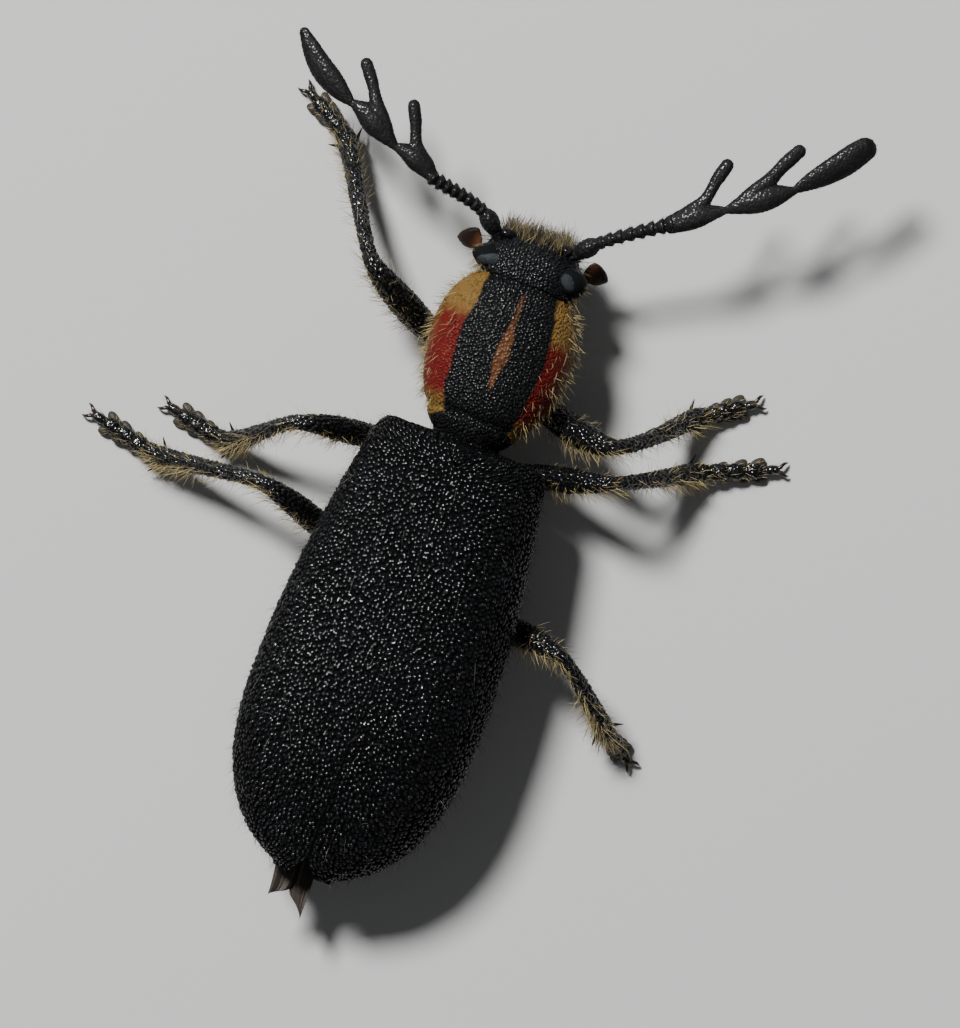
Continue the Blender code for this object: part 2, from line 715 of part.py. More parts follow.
def centre(objects):
    """Moves the whole so that its box stands on the origin."""
    corners = [vert.co for obj in objects for vert in obj.data.vertices]
    shift = [-0.5 * (min(c[axis] for c in corners) + max(c[axis] for c in corners)) for axis in (0, 1)]
    shift.append(-min(c[2] for c in corners))
    for obj in objects:
        obj.location = shift


def main():
    clear_scene()
    capsule = head()
    pieces = [capsule, eye("eye_left", -1), eye("eye_right", 1), labrum()]
    pieces += mouthparts(capsule)
    pieces += antenna("left", capsule) + antenna("right", capsule)
    pieces += [pronotum(), pterothorax(), abdomen(), scutellum()]
    pieces += [elytron("elytron_left", -1), elytron("elytron_right", 1)]
    pieces.append(hindwing_tip("hindwing_tip_left", -1, (-0.30, -8.42)))
    pieces.append(hindwing_tip("hindwing_tip_right", 1, (0.26, -8.64)))
    for name, places in LEGS.items():
        pieces += leg(name, *places)
    beetle = new_collection("pilose_checkered_beetle")
    for piece in pieces:
        complete(piece, beetle)
    centre(pieces)


if __name__ == "__main__":
    main()
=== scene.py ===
"""The looks of the pilose checkered beetle: its grained shell, its markings and its golden hair."""

import math

import bpy
import numpy as np
from mathutils import Matrix, Vector


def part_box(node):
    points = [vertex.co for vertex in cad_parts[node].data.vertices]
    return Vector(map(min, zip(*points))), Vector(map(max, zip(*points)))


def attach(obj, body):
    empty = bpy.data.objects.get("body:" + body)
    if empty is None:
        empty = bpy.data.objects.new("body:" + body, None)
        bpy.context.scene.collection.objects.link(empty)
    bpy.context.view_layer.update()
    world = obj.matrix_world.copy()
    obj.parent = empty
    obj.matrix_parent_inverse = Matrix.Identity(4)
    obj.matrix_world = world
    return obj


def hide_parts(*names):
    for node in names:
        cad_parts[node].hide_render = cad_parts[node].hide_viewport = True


bl_info = {
    "name": "Pilose Checkered Beetle",
    "version": (1, 0, 0),
    "blender": (4, 5, 0),
    "location": "View3D > Sidebar > Beetle",
    "description": "Builds a checkered beetle's shell, markings and hair, and its studio",
    "category": "Object",
}

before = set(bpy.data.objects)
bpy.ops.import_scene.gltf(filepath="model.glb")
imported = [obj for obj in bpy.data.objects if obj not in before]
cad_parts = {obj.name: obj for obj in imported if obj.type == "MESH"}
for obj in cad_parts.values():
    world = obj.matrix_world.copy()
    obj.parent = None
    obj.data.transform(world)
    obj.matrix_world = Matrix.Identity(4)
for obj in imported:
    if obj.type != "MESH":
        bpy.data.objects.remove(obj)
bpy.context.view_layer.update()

# Everything is drawn in millimetres: x is 0 at the seam of the wing cases, y at their base, and
# z at the floor. MM makes it metres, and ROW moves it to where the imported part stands.
MM = 0.001
ELYTRA_BASE_Y = 0.20
ELYTRA_TIP_Y = -7.86
LEFT_CASE, RIGHT_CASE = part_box("elytron_left"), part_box("elytron_right")
ROW = np.array([0.5 * (LEFT_CASE[0].x + RIGHT_CASE[1].x), LEFT_CASE[1].y - ELYTRA_BASE_Y * MM, 0.0])


# The trunk and the wing cases over it
BELLY_Z = 1.05
SIDE_Z = 2.05
TOP_Z = 3.30
SHOULDER_HALF = 1.52
ELYTRA_HALF = 2.07
WIDEST_AT = 0.58  # share of the wing cases' length
ELYTRON_THICK = 0.50
ELYTRON_RIM = 0.27
BACK_POWER = 2.3  # of the superellipse of their sections
TIP_HALF = 0.52
APEX_NOTCH = 0.20
SCUTELLUM_HALF = 0.24
SCUTELLUM_LENGTH = 0.42
HIND_TRUNK_Y = -2.95
ABDOMEN_TIP_Y = -7.35
BELLY_INSET = 0.20
VENTRITES = 6

# The neck shield
PRONOTUM_BACK_Y = 0.30
PRONOTUM_FRONT_Y = 3.12
PRONOTUM_HALF = 1.27
PRONOTUM_WIDEST_Y = 2.00
PRONOTUM_BACK_HALF = 0.60
PRONOTUM_FRONT_HALF = 0.76
PRONOTUM_SIDE_Z = 1.90
PRONOTUM_TOP_Z = 2.85
PRONOTUM_BELLY_Z = 0.98
COLLAR_Y = 0.66  # the groove before its foot
FRONT_GROOVE_Y = 2.93

# The head, which looks a little to its left
HEAD_BACK_Y = 3.22
HEAD_FRONT_Y = 4.08
HEAD_HALF = 0.88
HEAD_TOP_Z = 2.55
HEAD_CHIN_Z = 1.12
HEAD_TURN = math.tan(math.radians(4.0))
EYE_CENTRE = (0.72, 3.44, 2.03)
EYE_HALF = (0.32, 0.23, 0.40)

# The legs: hips, how far out each is cut for the thigh, and the limbs' radii
COXA_Z = 0.74
COXA_HALF = {"fore": (0.36, 0.40, 0.34), "mid": (0.36, 0.38, 0.34), "hind": (0.50, 0.27, 0.34)}
COXA_CUT = {"fore": 0.24, "mid": 0.24, "hind": 0.36}
FEMUR_Z = 0.66
TOE_Z = 0.16
THIGH_RADII = (0.15, 0.18, 0.215, 0.24, 0.25, 0.24, 0.21, 0.175, 0.135)
SHIN_RADII = (0.125, 0.115, 0.120, 0.132, 0.148, 0.165, 0.160)
LEG_SHARE = {"fore": 1.0, "mid": 0.86, "hind": 0.88}  # of the thighs' radii
FOOT_STEPS = 200
FOOT_LENGTH = 5.5  # in its short segments, of which the last one with the claws takes 1.5
PAD_HALF = (0.140, 0.080, 0.055)
PAD_PLUMP = (0.75, 0.95, 1.1, 1.15)  # from the first segment's pads to the fourth's

# Rows and columns of the large grids
CASE_ROWS = 500
CASE_COLUMNS = 172
SHIELD_ROWS = 236
SHIELD_COLUMNS = 384
HEAD_ROWS = 110
HEAD_COLUMNS = 400
THORAX_ROWS = 96
BELLY_ROWS = 140
TRUNK_COLUMNS = 160

# How many hairs each coat has at full density
HAIRS = {
    "shield_fringe": 880, "shield_flank": 220, "shield_under": 1100, "shield_pile": 700,
    "face": 1150, "cheek": 200, "temple": 130, "crown": 320, "lip": 420,
    "case_pile": 1500, "case_edge": 300, "case_stray": 45, "belly": 1800,
    "thigh_fringe": 200, "thigh_pile": 80, "shin_fringe": 290, "shin_pile": 60,
    "segment": 40, "claw_segment": 14, "beads": 320, "leaf": 420,
}

# Hip, knee, ankle and toe of each leg
LEGS = {
    "foreleg_left": ("fore", (-0.42, 1.38), (-2.63, 2.60, 1.95), (-3.86, 4.51, 0.42), (-4.72, 5.03)),
    "foreleg_right": ("fore", (0.42, 1.38), (2.44, 1.05, 2.15), (3.68, 2.08, 0.42), (4.51, 2.64)),
    "midleg_left": ("mid", (-0.44, -0.12), (-2.82, -0.47, 2.15), (-3.94, -1.23, 0.42), (-5.06, -1.03)),
    "midleg_right": ("mid", (0.44, -0.12), (2.64, 0.44, 2.20), (3.99, 1.15, 0.42), (5.30, 1.71)),
    "hindleg_left": ("hind", (-0.55, -2.50), (-3.00, -1.70, 1.95), (-5.00, -1.90, 0.42), (-6.26, -1.63)),
    "hindleg_right": ("hind", (0.55, -2.50), (2.87, -2.69, 1.98), (4.14, -3.68, 0.80), (4.64, -4.00)),
}
# Root on the head, elbow, the joints of the club and the tips of its two fingers
ANTENNAE = {
    "left": {
        "root": (-0.72, 3.78, 2.04),
        "elbow": (-1.10, 4.09, 2.20),
        "joints": ((-2.17, 4.34, 2.45), (-2.96, 4.61, 2.50), (-3.92, 5.06, 2.50), (-5.24, 5.99, 2.35)),
        "fingers": ((-2.95, 5.50, 2.45), (-4.00, 5.88, 2.40)),
    },
    "right": {
        "root": (0.62, 3.92, 2.02),
        "elbow": (0.93, 4.27, 2.20),
        "joints": ((2.05, 5.06, 2.45), (2.83, 5.61, 2.50), (3.81, 6.34, 2.50), (4.81, 7.54, 2.35)),
        "fingers": ((2.60, 6.47, 2.45), (3.72, 7.14, 2.40)),
    },
}
# The three leaves of each club: how far its middle line lies ahead and its half width along it, and
# the half width along its finger
CLUBS = {
    "left": (
        (((0.00, 0.10), (0.06, 0.180), (0.08, 0.210), (0.06, 0.150), (0.00, 0.065)),
         (0.09, 0.135, 0.135, 0.112, 0.102, 0.115, 0.110)),
        (((0.00, 0.065), (0.02, 0.160), (0.04, 0.230), (0.05, 0.185), (0.00, 0.065)),
         (0.06, 0.130, 0.150, 0.130, 0.104, 0.115, 0.110)),
        (((0.00, 0.060), (-0.05, 0.150), (-0.08, 0.205), (-0.10, 0.220), (-0.09, 0.200), (-0.05, 0.160),
          (0.00, 0.095)), None),
    ),
    "right": (
        (((0.00, 0.165), (0.02, 0.205), (0.03, 0.205), (0.02, 0.140), (0.00, 0.065)),
         (0.14, 0.155, 0.135, 0.110, 0.104, 0.122, 0.115)),
        (((0.00, 0.060), (0.01, 0.165), (0.01, 0.225), (0.01, 0.190), (0.00, 0.075)),
         (0.06, 0.125, 0.150, 0.135, 0.118, 0.128, 0.118)),
        (((0.00, 0.055), (0.00, 0.125), (-0.01, 0.180), (-0.02, 0.215), (-0.02, 0.235), (0.00, 0.240),
          (0.02, 0.215)), None),
    ),
}
SIDES = ((-1, "left"), (1, "right"))

# Colours that no setting holds: claws and jaws, and the dark and light strands of the stray hairs
HORN = (0.012, 0.006, 0.004)
STRAY_HAIR = ((0.070, 0.060, 0.048), (0.220, 0.190, 0.150))


# Numbers and curves

def smooth(t):
    t = np.clip(t, 0.0, 1.0)
    return t * t * (3.0 - 2.0 * t)


def lerp(a, b, t):
    return a + (b - a) * t


def dome(t, power=2.0, root=2.0):
    """1 at t = 0, falling to 0 at t = 1 like the end of a superellipse."""
    return (1.0 - np.clip(t, 0.0, 1.0) ** power) ** (1.0 / root)


def unit(vectors):
    vectors = np.asarray(vectors, float)
    return vectors / np.maximum(np.linalg.norm(vectors, axis=-1, keepdims=True), 1e-12)


def chance(i, j, seed):
    """A repeatable number from 0 to 1 for each pair of whole numbers."""
    return np.modf(np.abs(np.sin(i * 12.9898 + j * 78.233 + seed * 37.719) * 43758.5453))[0]


def profile(values, shares):
    """A smooth curve through evenly spaced values, read at the given shares of its length."""
    values = np.asarray(values, float)
    ends = np.concatenate([[2 * values[0] - values[1]], values, [2 * values[-1] - values[-2]]])
    spans = len(values) - 1
    at = np.clip(np.asarray(shares, float), 0.0, 1.0) * spans
    i = np.minimum(at.astype(int), spans - 1)
    t = at - i
    if values.ndim > 1:
        t = t[:, None]
    a, b, c, d = ends[i], ends[i + 1], ends[i + 2], ends[i + 3]
    return 0.5 * (2 * b + (c - a) * t + (2 * a - 5 * b + 4 * c - d) * t * t
                  + (3 * b - 3 * c + d - a) * t**3)


def through(knots, count):
    """Evenly counted steps of a smooth curve through all the knots, which are numbers or points."""
    return profile(knots, np.linspace(0, 1, count))


def bend(start, end, start_way, end_way, count, start_reach=0.3, end_reach=0.3):
    """Points on a curve that leaves and arrives along the given directions."""
    one, two = start + start_way * start_reach, end - end_way * end_reach
    t = np.linspace(0.0, 1.0, count)[:, None]
    u = 1.0 - t
    return start * u**3 + one * 3 * u * u * t + two * 3 * u * t * t + end * t**3


def way(a, b):
    """The direction from one point to another."""
    return unit(np.subtract(b, a))


def between(before, at, after):
    """The direction in which a bent limb passes its joint."""
    return unit(way(before, at) + way(at, after))


def even(line, count):
    """The same open line with its points evenly spaced."""
    steps = np.linalg.norm(np.diff(line, axis=0), axis=1)
    at = np.concatenate([[0.0], np.cumsum(steps)])
    wanted = np.linspace(0.0, at[-1], count)
    return np.stack([np.interp(wanted, at, line[:, k]) for k in range(line.shape[1])], axis=1)


def section(flat, y):
    """A drawn section of points (x, z), stood up at y."""
    return np.stack([flat[:, 0], np.full(len(flat), y), flat[:, 1]], axis=1)


def superarc(half, height, power, start, end, count):
    """Points (x, z) of a superellipse from start to end degrees, where 0 is up and 90 is +X."""
    angle = np.radians(np.linspace(start, end, count))
    x, z = np.sin(angle), np.cos(angle)
    return np.stack([half * np.sign(x) * np.abs(x) ** (2.0 / power),
                     height * np.sign(z) * np.abs(z) ** (2.0 / power)], axis=1)


# Surfaces: grids of points with rows along a form and columns round it

def outward(points):
    """The unit normals of a grid, pointing away from its middle line."""
    along = np.gradient(points, axis=0)
    around = np.roll(points, -1, axis=1) - np.roll(points, 1, axis=1)
    normals = unit(np.cross(around, along))
    outer = points - points.mean(axis=1, keepdims=True)
    return normals if (normals * outer).sum() > 0 else -normals


def across(points, middle):
    """How far each point of a grid lies along it and round it, measured from a middle column."""
    down = np.linalg.norm(np.diff(points.mean(axis=1), axis=0), axis=1)
    down = np.concatenate([[0.0], np.cumsum(down)])
    about = np.linalg.norm(np.diff(points, axis=1), axis=2)
    about = np.concatenate([np.zeros((len(points), 1)), np.cumsum(about, axis=1)], axis=1)
    return np.repeat(down[:, None], points.shape[1], axis=1), about - about[:, middle:middle + 1]


def grain_distance(down, about, spacing, seed):
    """How far each place is from the nearest grain, in spacings, and that grain's random number."""
    high = 0.866 * spacing
    row = np.floor(about / high)
    nearest, picked = np.full(down.shape, 9.0), np.zeros(down.shape)
    for row_step in (-1, 0, 1):
        j = row + row_step
        odd = 0.5 * np.mod(j, 2)
        column = np.floor(down / spacing - odd)
        for column_step in (-1, 0, 1):
            i = column + column_step
            at_down = (i + 0.5 + odd + 0.66 * (chance(i, j, seed) - 0.5)) * spacing
            at_round = (j + 0.5 + 0.66 * (chance(i, j, seed + 5) - 0.5)) * high
            far = np.hypot(down - at_down, about - at_round) / spacing
            closer = far < nearest
            nearest = np.where(closer, far, nearest)
            picked = np.where(closer, chance(i, j, seed + 9), picked)
    return nearest, picked


def grained(points, spacing, height, seed, middle=0, mask=1.0, stretch=1.0, tip=0.34):
    """A grid covered with close, uneven grains. Its fourth number is 1 on a grain's polished tip."""
    down, about = across(points, middle)
    far, pick = grain_distance(down / stretch, about, spacing, seed)
    rise = 1.0 - np.minimum(far / 0.60, 1.0) ** 2
    lift = height * ((0.70 + 0.6 * pick) * rise - 0.45)
    tips = smooth((tip - far) / 0.20) * (0.35 + 0.65 * pick) * (np.asarray(mask) > 0.2)
    return np.concatenate([points + outward(points) * (lift * mask)[..., None], tips[..., None]], axis=-1)


def grained_skin(points, quads, spacing, height, seed):
    """A melted skin covered with scattered grains, and 1 on the polished tip of each."""
    corners = points[quads]
    facing = np.cross(corners[:, 2] - corners[:, 0], corners[:, 3] - corners[:, 1])
    normals = np.zeros(points.shape)
    for corner in range(4):
        np.add.at(normals, quads[:, corner], facing)
    cell = np.floor(points / spacing)
    far, pick = np.full(len(points), 9.0), np.zeros(len(points))
    for step in np.ndindex(3, 3, 3):
        at = cell + step - 1.0
        row = at[:, 1] + 31.0 * at[:, 2]
        shift = np.stack([chance(at[:, 0], row, seed + k) for k in range(3)], axis=1)
        away = np.linalg.norm(points / spacing - at - 0.2 - 0.6 * shift, axis=1)
        pick = np.where(away < far, chance(at[:, 0], row, seed + 9), pick)
        far = np.minimum(away, far)
    lift = height * (0.6 - np.minimum(far / 0.70, 1.0) ** 2)
    tips = smooth((0.48 - far) / 0.26) * (0.35 + 0.65 * pick)
    return points + unit(normals) * lift[:, None], tips


def rounded(points, ahead=0.0, behind=0.0):
    """A grid whose open ends are closed by domes of the given depths, six rings each."""
    grids = []
    for end, inner, deep in ((points[0], points[1], ahead), (points[-1], points[-2], behind)):
        centre = end.mean(axis=0)
        push = centre - inner.mean(axis=0)
        push = push * deep / np.linalg.norm(push[:3])
        turn = np.radians(np.linspace(0, 86, 7)[1:])
        grids.append([centre + (end - centre) * math.cos(a) + push * math.sin(a) for a in turn])
    parts = [points]
    if ahead:
        parts.insert(0, np.array(grids[0][::-1]))
    if behind:
        parts.append(np.array(grids[1]))
    return np.concatenate(parts)


def sweep(line, radii, sides, up=(0.0, 0.0, 1.0), flat=1.0, ends=(1.0, 1.0)):
    """Rings square to a line, whose first column lies below it.

    flat is thickness over width, and ends are the depths of the closing domes in radii.
    """
    line = np.asarray(line, float)
    radii = np.asarray(radii, float)
    tangents = unit(np.gradient(line, axis=0))
    side = unit(np.cross(tangents, up))
    lift = np.cross(side, tangents)
    angle = 2 * math.pi * np.arange(sides) / sides
    ring = (side[:, None] * -np.sin(angle)[None, :, None]
            - lift[:, None] * flat * np.cos(angle)[None, :, None])
    points = line[:, None] + ring * radii[:, None, None]
    return rounded(points, radii[0] * ends[0], radii[-1] * ends[1])


def ellipsoid(centre, half, rings, sides, axis=2):
    """A ball whose poles lie along one axis."""
    polar = np.linspace(0.02, math.pi - 0.02, rings)[:, None]
    angle = (2 * math.pi * np.arange(sides) / sides)[None, :]
    ball = np.stack([np.sin(polar) * np.sin(angle), -np.sin(polar) * np.cos(angle),
                     np.cos(polar) * np.ones_like(angle)], axis=-1)
    ball = np.roll(ball, axis - 2, axis=-1)
    return np.asarray(centre) + ball * np.asarray(half)


class Form:
    """Gathers closed grids into one mesh."""

    def __init__(self):
        self.verts, self.tips, self.quads, self.tris, self.quad_slots, self.tri_slots = [], [], [], [], [], []
        self.count = 0

    def add(self, points, slot=0, outer=None):
        """Adds a grid whose ends are closed by fans, or zipped if its outer wall has that many columns."""
        n, m = points.shape[:2]
        index = np.arange(n * m).reshape(n, m)
        wrapped = np.concatenate([index, index[:, :1]], axis=1)
        quads = np.stack([wrapped[:-1, :-1], wrapped[:-1, 1:], wrapped[1:, 1:], wrapped[1:, :-1]], axis=-1)
        quads = quads.reshape(-1, 4)
        first, last = n * m, n * m + 1
        a, b = index[0], np.roll(index[0], -1)
        c, d = index[-1], np.roll(index[-1], -1)
        tris = np.concatenate([np.stack([b, a, np.full(m, first)], axis=-1),
                               np.stack([c, d, np.full(m, last)], axis=-1)])
        verts = np.concatenate([points.reshape(n * m, -1), [points[0].mean(axis=0), points[-1].mean(axis=0)]])
        if outer:
            closing = zipped(m, outer)
            tris = np.concatenate([closing, index[-1][closing[:, ::-1]]])
            verts = verts[:-2]
        verts, tips = verts[:, :3], verts[:, 3:].sum(axis=1)
        corners = np.concatenate([quads[:, [0, 1, 2]], quads[:, [0, 2, 3]], tris])
        p, q, r = (verts[corners[:, k]] - verts[0] for k in range(3))
        if (p * np.cross(q, r)).sum() < 0:
            quads, tris = quads[:, ::-1], tris[:, ::-1]
        self.add_faces(verts, quads, tris, slot, tips)

    def add_faces(self, verts, quads, tris, slot=0, tips=None):
        """Adds a closed skin of quads and triangles as it is."""
        self.verts.append(verts)
        self.tips.append(np.zeros(len(verts)) if tips is None else tips)
        self.quads.append(quads + self.count)
        self.tris.append(tris + self.count)
        self.quad_slots.append(np.full(len(quads), slot))
        self.tri_slots.append(np.full(len(tris), slot))
        self.count += len(verts)

    def mesh(self, name):
        """One mesh of all that was added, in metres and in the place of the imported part."""
        verts = np.concatenate(self.verts) * MM + ROW
        quads, tris = np.concatenate(self.quads), np.concatenate(self.tris)
        made = bpy.data.meshes.new(name)
        made.vertices.add(len(verts))
        made.vertices.foreach_set("co", verts.astype(np.float32).ravel())
        made.loops.add(quads.size + tris.size)
        made.loops.foreach_set("vertex_index", np.concatenate([quads.ravel(), tris.ravel()]).astype(np.int32))
        made.polygons.add(len(quads) + len(tris))
        starts = np.concatenate([np.arange(len(quads)) * 4, quads.size + np.arange(len(tris)) * 3])
        made.polygons.foreach_set("loop_start", starts.astype(np.int32))
        slots = np.concatenate(self.quad_slots + self.tri_slots)
        made.polygons.foreach_set("material_index", slots.astype(np.int32))
        made.polygons.foreach_set("use_smooth", np.ones(len(starts), bool))
        made.update(calc_edges=True)
        tips = made.attributes.new("tip", "FLOAT", "POINT")
        tips.data.foreach_set("value", np.clip(np.concatenate(self.tips), 0.0, 1.0).astype(np.float32))
        return made

    def piece(self, name, looks, nodes, slot):
        """The finished piece: it rides on the part and stands for its nodes. Its slot is not used."""
        obj = bpy.data.objects.new(name, self.mesh(name))
        bpy.context.scene.collection.objects.link(obj)
        for look in looks:
            obj.data.materials.append(look)
        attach(obj, "root")
        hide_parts(*nodes)
        return obj


def single(name, points, look, node, slot, outer=None):
    """A piece of one grid, which stands for one node."""
    form = Form()
    form.add(points, outer=outer)
    form.piece(name, [look], [node], slot)


def zipped(count, outer):
    """Triangles that close a ring of two walls: its outer columns are zipped to its inner ones."""
    tris = []
    a, b = 0, count - 1
    while b - a > 1:
        if a / outer <= (count - 1 - b) / (count - outer) and a < outer or b <= outer:
            tris.append((a + 1, a, b))
            a += 1
        else:
            tris.append((a, b, b - 1))
            b -= 1
    return np.array(tris)


def fused(grids, voxel, rounds=3):
    """Melts closed grids that cross into one smooth skin and returns its points and quads."""
    form = Form()
    for grid in grids:
        form.add(grid)
    verts = np.concatenate(form.verts)
    faces = [list(face) for face in np.concatenate(form.quads)]
    faces += [list(face) for face in np.concatenate(form.tris)]
    mesh = bpy.data.meshes.new("melt")
    mesh.from_pydata([tuple(v) for v in verts], [], faces)
    obj = bpy.data.objects.new("melt", mesh)
    bpy.context.scene.collection.objects.link(obj)
    melt = obj.modifiers.new("melt", "REMESH")
    melt.mode = "VOXEL"
    melt.voxel_size = voxel
    ease = obj.modifiers.new("ease", "SMOOTH")
    ease.factor = 0.5
    ease.iterations = rounds
    bpy.context.view_layer.update()
    result = bpy.data.meshes.new_from_object(obj.evaluated_get(bpy.context.evaluated_depsgraph_get()))
    points = np.empty(len(result.vertices) * 3)
    result.vertices.foreach_get("co", points)
    quads = np.array([list(face.vertices) for face in result.polygons if len(face.vertices) == 4])
    tris = np.array([list(face.vertices) for face in result.polygons if len(face.vertices) == 3])
    bpy.data.objects.remove(obj)
    for spare in (mesh, result):
        bpy.data.meshes.remove(spare)
    return points.reshape(-1, 3), quads.reshape(-1, 4), tris.reshape(-1, 3).astype(int)


# Hair

class Skin:
    """Quads that hair grows on, each with its normal, the way along its form and its unwrap."""

    def __init__(self, corners, along, unwrap):
        self.corners, self.along, self.unwrap = corners, along, unwrap
        diagonals = np.cross(corners[:, 2] - corners[:, 0], corners[:, 3] - corners[:, 1])
        self.area = 0.5 * np.linalg.norm(diagonals, axis=1)
        self.normals = unit(diagonals)
        self.centres = corners.mean(axis=1)

    @classmethod
    def of_grid(cls, points, patch):
        """A grid's skin, unwrapped by its rows and columns into a patch (u, v, width, height)."""
        corners = np.stack([points[:-1, :-1], points[1:, :-1], points[1:, 1:], points[:-1, 1:]], axis=2)
        rows, columns = corners.shape[:2]
        along = unit(points[1:, :-1] - points[:-1, :-1])
        v = np.repeat(((np.arange(rows) + 0.5) / rows)[:, None], columns, axis=1)
        u = np.repeat(((np.arange(columns) + 0.5) / columns)[None], rows, axis=0)
        unwrap = np.stack([patch[0] + u * patch[2], patch[1] + v * patch[3]], axis=-1)
        skin = cls(corners.reshape(-1, 4, 3), along.reshape(-1, 3), unwrap.reshape(-1, 2))
        return skin.facing(points)

    @classmethod
    def of_quads(cls, points, quads, start, end, patch):
        """A melted skin, unwrapped by share of its length and angle about the line start to end."""
        corners = points[quads]
        axis = way(start, end)
        out = corners.mean(axis=1) - start
        share = np.clip(out @ axis / np.linalg.norm(np.subtract(end, start)), 0.0, 1.0)
        side = unit(np.cross(axis, (0.0, 0.0, 1.0)))
        angle = np.arctan2(out @ np.cross(side, axis), out @ side) / (2 * math.pi) + 0.5
        unwrap = np.stack([patch[0] + angle * patch[2], patch[1] + share * patch[3]], axis=1)
        return cls(corners, np.repeat(axis[None], len(quads), axis=0), unwrap)

    def facing(self, points):
        """Turns the normals out, judged by the grid's middle line."""
        middles = np.repeat(points.mean(axis=1)[:-1], points.shape[1] - 1, axis=0)
        if ((self.centres - middles) * self.normals).sum() < 0:
            self.normals = -self.normals
        return self

    def roots(self, count, rng, weight=None):
        """Random places on the skin with their normals, ways along it and unwrap."""
        share = self.area if weight is None else self.area * np.maximum(weight, 0.0)
        pick = rng.choice(len(share), count, p=share / share.sum())
        a, b = rng.random((2, count, 1))
        c = self.corners[pick]
        places = lerp(lerp(c[:, 0], c[:, 1], a), lerp(c[:, 3], c[:, 2], a), b)
        return places, self.normals[pick], self.along[pick], self.unwrap[pick]


class Coat:
    """Gathers hairs, each a closed three-sided spike that bends along its lie."""

    LEVELS = (0.0, 0.38, 0.74)
    THICKNESS = (1.0, 0.86, 0.52)
    SINK = 0.015  # how deep the roots are set

    def __init__(self, seed):
        self.rng = np.random.default_rng(seed)
        self.form = Form()
        self.maps = []

    def grow(self, skin, count, length, stand, thick, weight=None, lie=None, curl=0.25, stray=0.25):
        """Sets hairs on a skin. stand is 0 for flat along the lie and 1 for upright."""
        rng = self.rng
        places, normals, along, unwrap = skin.roots(count, rng, weight)
        lie = along if lie is None else unit(np.broadcast_to(lie, along.shape))
        flat = unit(lie - normals * (lie * normals).sum(axis=1, keepdims=True) + 0.001 * along)
        upright = np.clip(stand + 0.18 * rng.standard_normal((count, 1)), 0.08, 1.0)
        ways = normals * upright + flat * (1.0 - 0.85 * upright)
        ways = unit(ways + stray * rng.standard_normal((count, 3)))
        under = (ways * normals).sum(axis=1, keepdims=True)
        ways = unit(ways + normals * np.maximum(0.12 - under, 0.0))
        lengths = length * np.clip(1.0 + 0.28 * rng.standard_normal((count, 1)), 0.45, 1.7)
        bends = (flat * curl + stray * 0.4 * rng.standard_normal((count, 3))) * lengths
        clear = np.minimum(places[:, 2], (places + ways * lengths + bends)[:, 2]) > 0.02
        roots = (places - ways * self.SINK)[clear]
        self.spikes(roots, ways[clear], bends[clear], lengths[clear] + self.SINK, thick, unwrap[clear])

    def spikes(self, roots, ways, bends, lengths, thick, unwrap):
        """Adds one spike for each root, closed at its root and pointed at its end."""
        count = len(roots)
        side = unit(np.cross(ways, unit(bends + 1e-6 + 0.01 * self.rng.standard_normal((count, 3)))))
        lift = np.cross(side, ways)
        verts = np.empty((count, 10, 3))
        maps = np.empty((count, 10, 2))
        for level, (t, share) in enumerate(zip(self.LEVELS, self.THICKNESS)):
            middle = roots + ways * lengths * t + bends * t * t
            for corner in range(3):
                angle = 2 * math.pi * corner / 3
                ring = side * math.cos(angle) + lift * math.sin(angle)
                verts[:, 3 * level + corner] = middle + ring * thick * share
                maps[:, 3 * level + corner] = unwrap + 0.0015 * np.array(
                    [math.cos(angle) * (1.0 - 0.6 * t), math.sin(angle) * (1.0 - 0.6 * t)])
        verts[:, 9] = roots + ways * lengths + bends
        maps[:, 9] = unwrap
        base = (np.arange(count) * 10)[:, None]
        quads, tris = [], [base + [2, 1, 0]]
        for corner in range(3):
            after = (corner + 1) % 3
            for level in (0, 3):
                quads.append(base + [level + corner, level + after, level + 3 + after, level + 3 + corner])
            tris.append(base + [6 + corner, 6 + after, 9])
        self.form.add_faces(verts.reshape(-1, 3), np.concatenate(quads), np.concatenate(tris))
        self.maps.append(maps.reshape(-1, 2))

    def piece(self, name, look):
        mesh = self.form.mesh(name)
        unwrap = mesh.uv_layers.new(name="OFBake")
        corners = np.empty(len(mesh.loops), np.int32)
        mesh.loops.foreach_get("vertex_index", corners)
        unwrap.data.foreach_set("uv", np.concatenate(self.maps)[corners].astype(np.float32).ravel())
        mesh.materials.append(look)
        obj = bpy.data.objects.new(name, mesh)
        bpy.context.scene.collection.objects.link(obj)
        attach(obj, "root")
        return obj


# Materials

class Value:
    """A shader socket that takes part in sums, so that maths on it adds Math nodes."""

    def __init__(self, look, socket):
        self.look, self.socket = look, socket

    def math(self, operation, first, second, clamp=False):
        made = self.look.node("ShaderNodeMath", {"operation": operation, "use_clamp": clamp},
                              {0: first, 1: second})
        return Value(self.look, made.outputs[0])

    def __add__(self, other):
        return self.math("ADD", self, other)

    __radd__ = __add__

    def __sub__(self, other):
        return self.math("SUBTRACT", self, other)

    def __rsub__(self, other):
        return self.math("SUBTRACT", other, self)

    def __mul__(self, other):
        return self.math("MULTIPLY", self, other)

    __rmul__ = __mul__

    def __truediv__(self, other):
        return self.math("DIVIDE", self, other)

    def __abs__(self):
        return self.math("ABSOLUTE", self, 0.0)

    def most(self, other):
        return self.math("MAXIMUM", self, other)

    def held(self):
        """The same value kept between 0 and 1."""
        return self.math("ADD", self, 0.0, clamp=True)


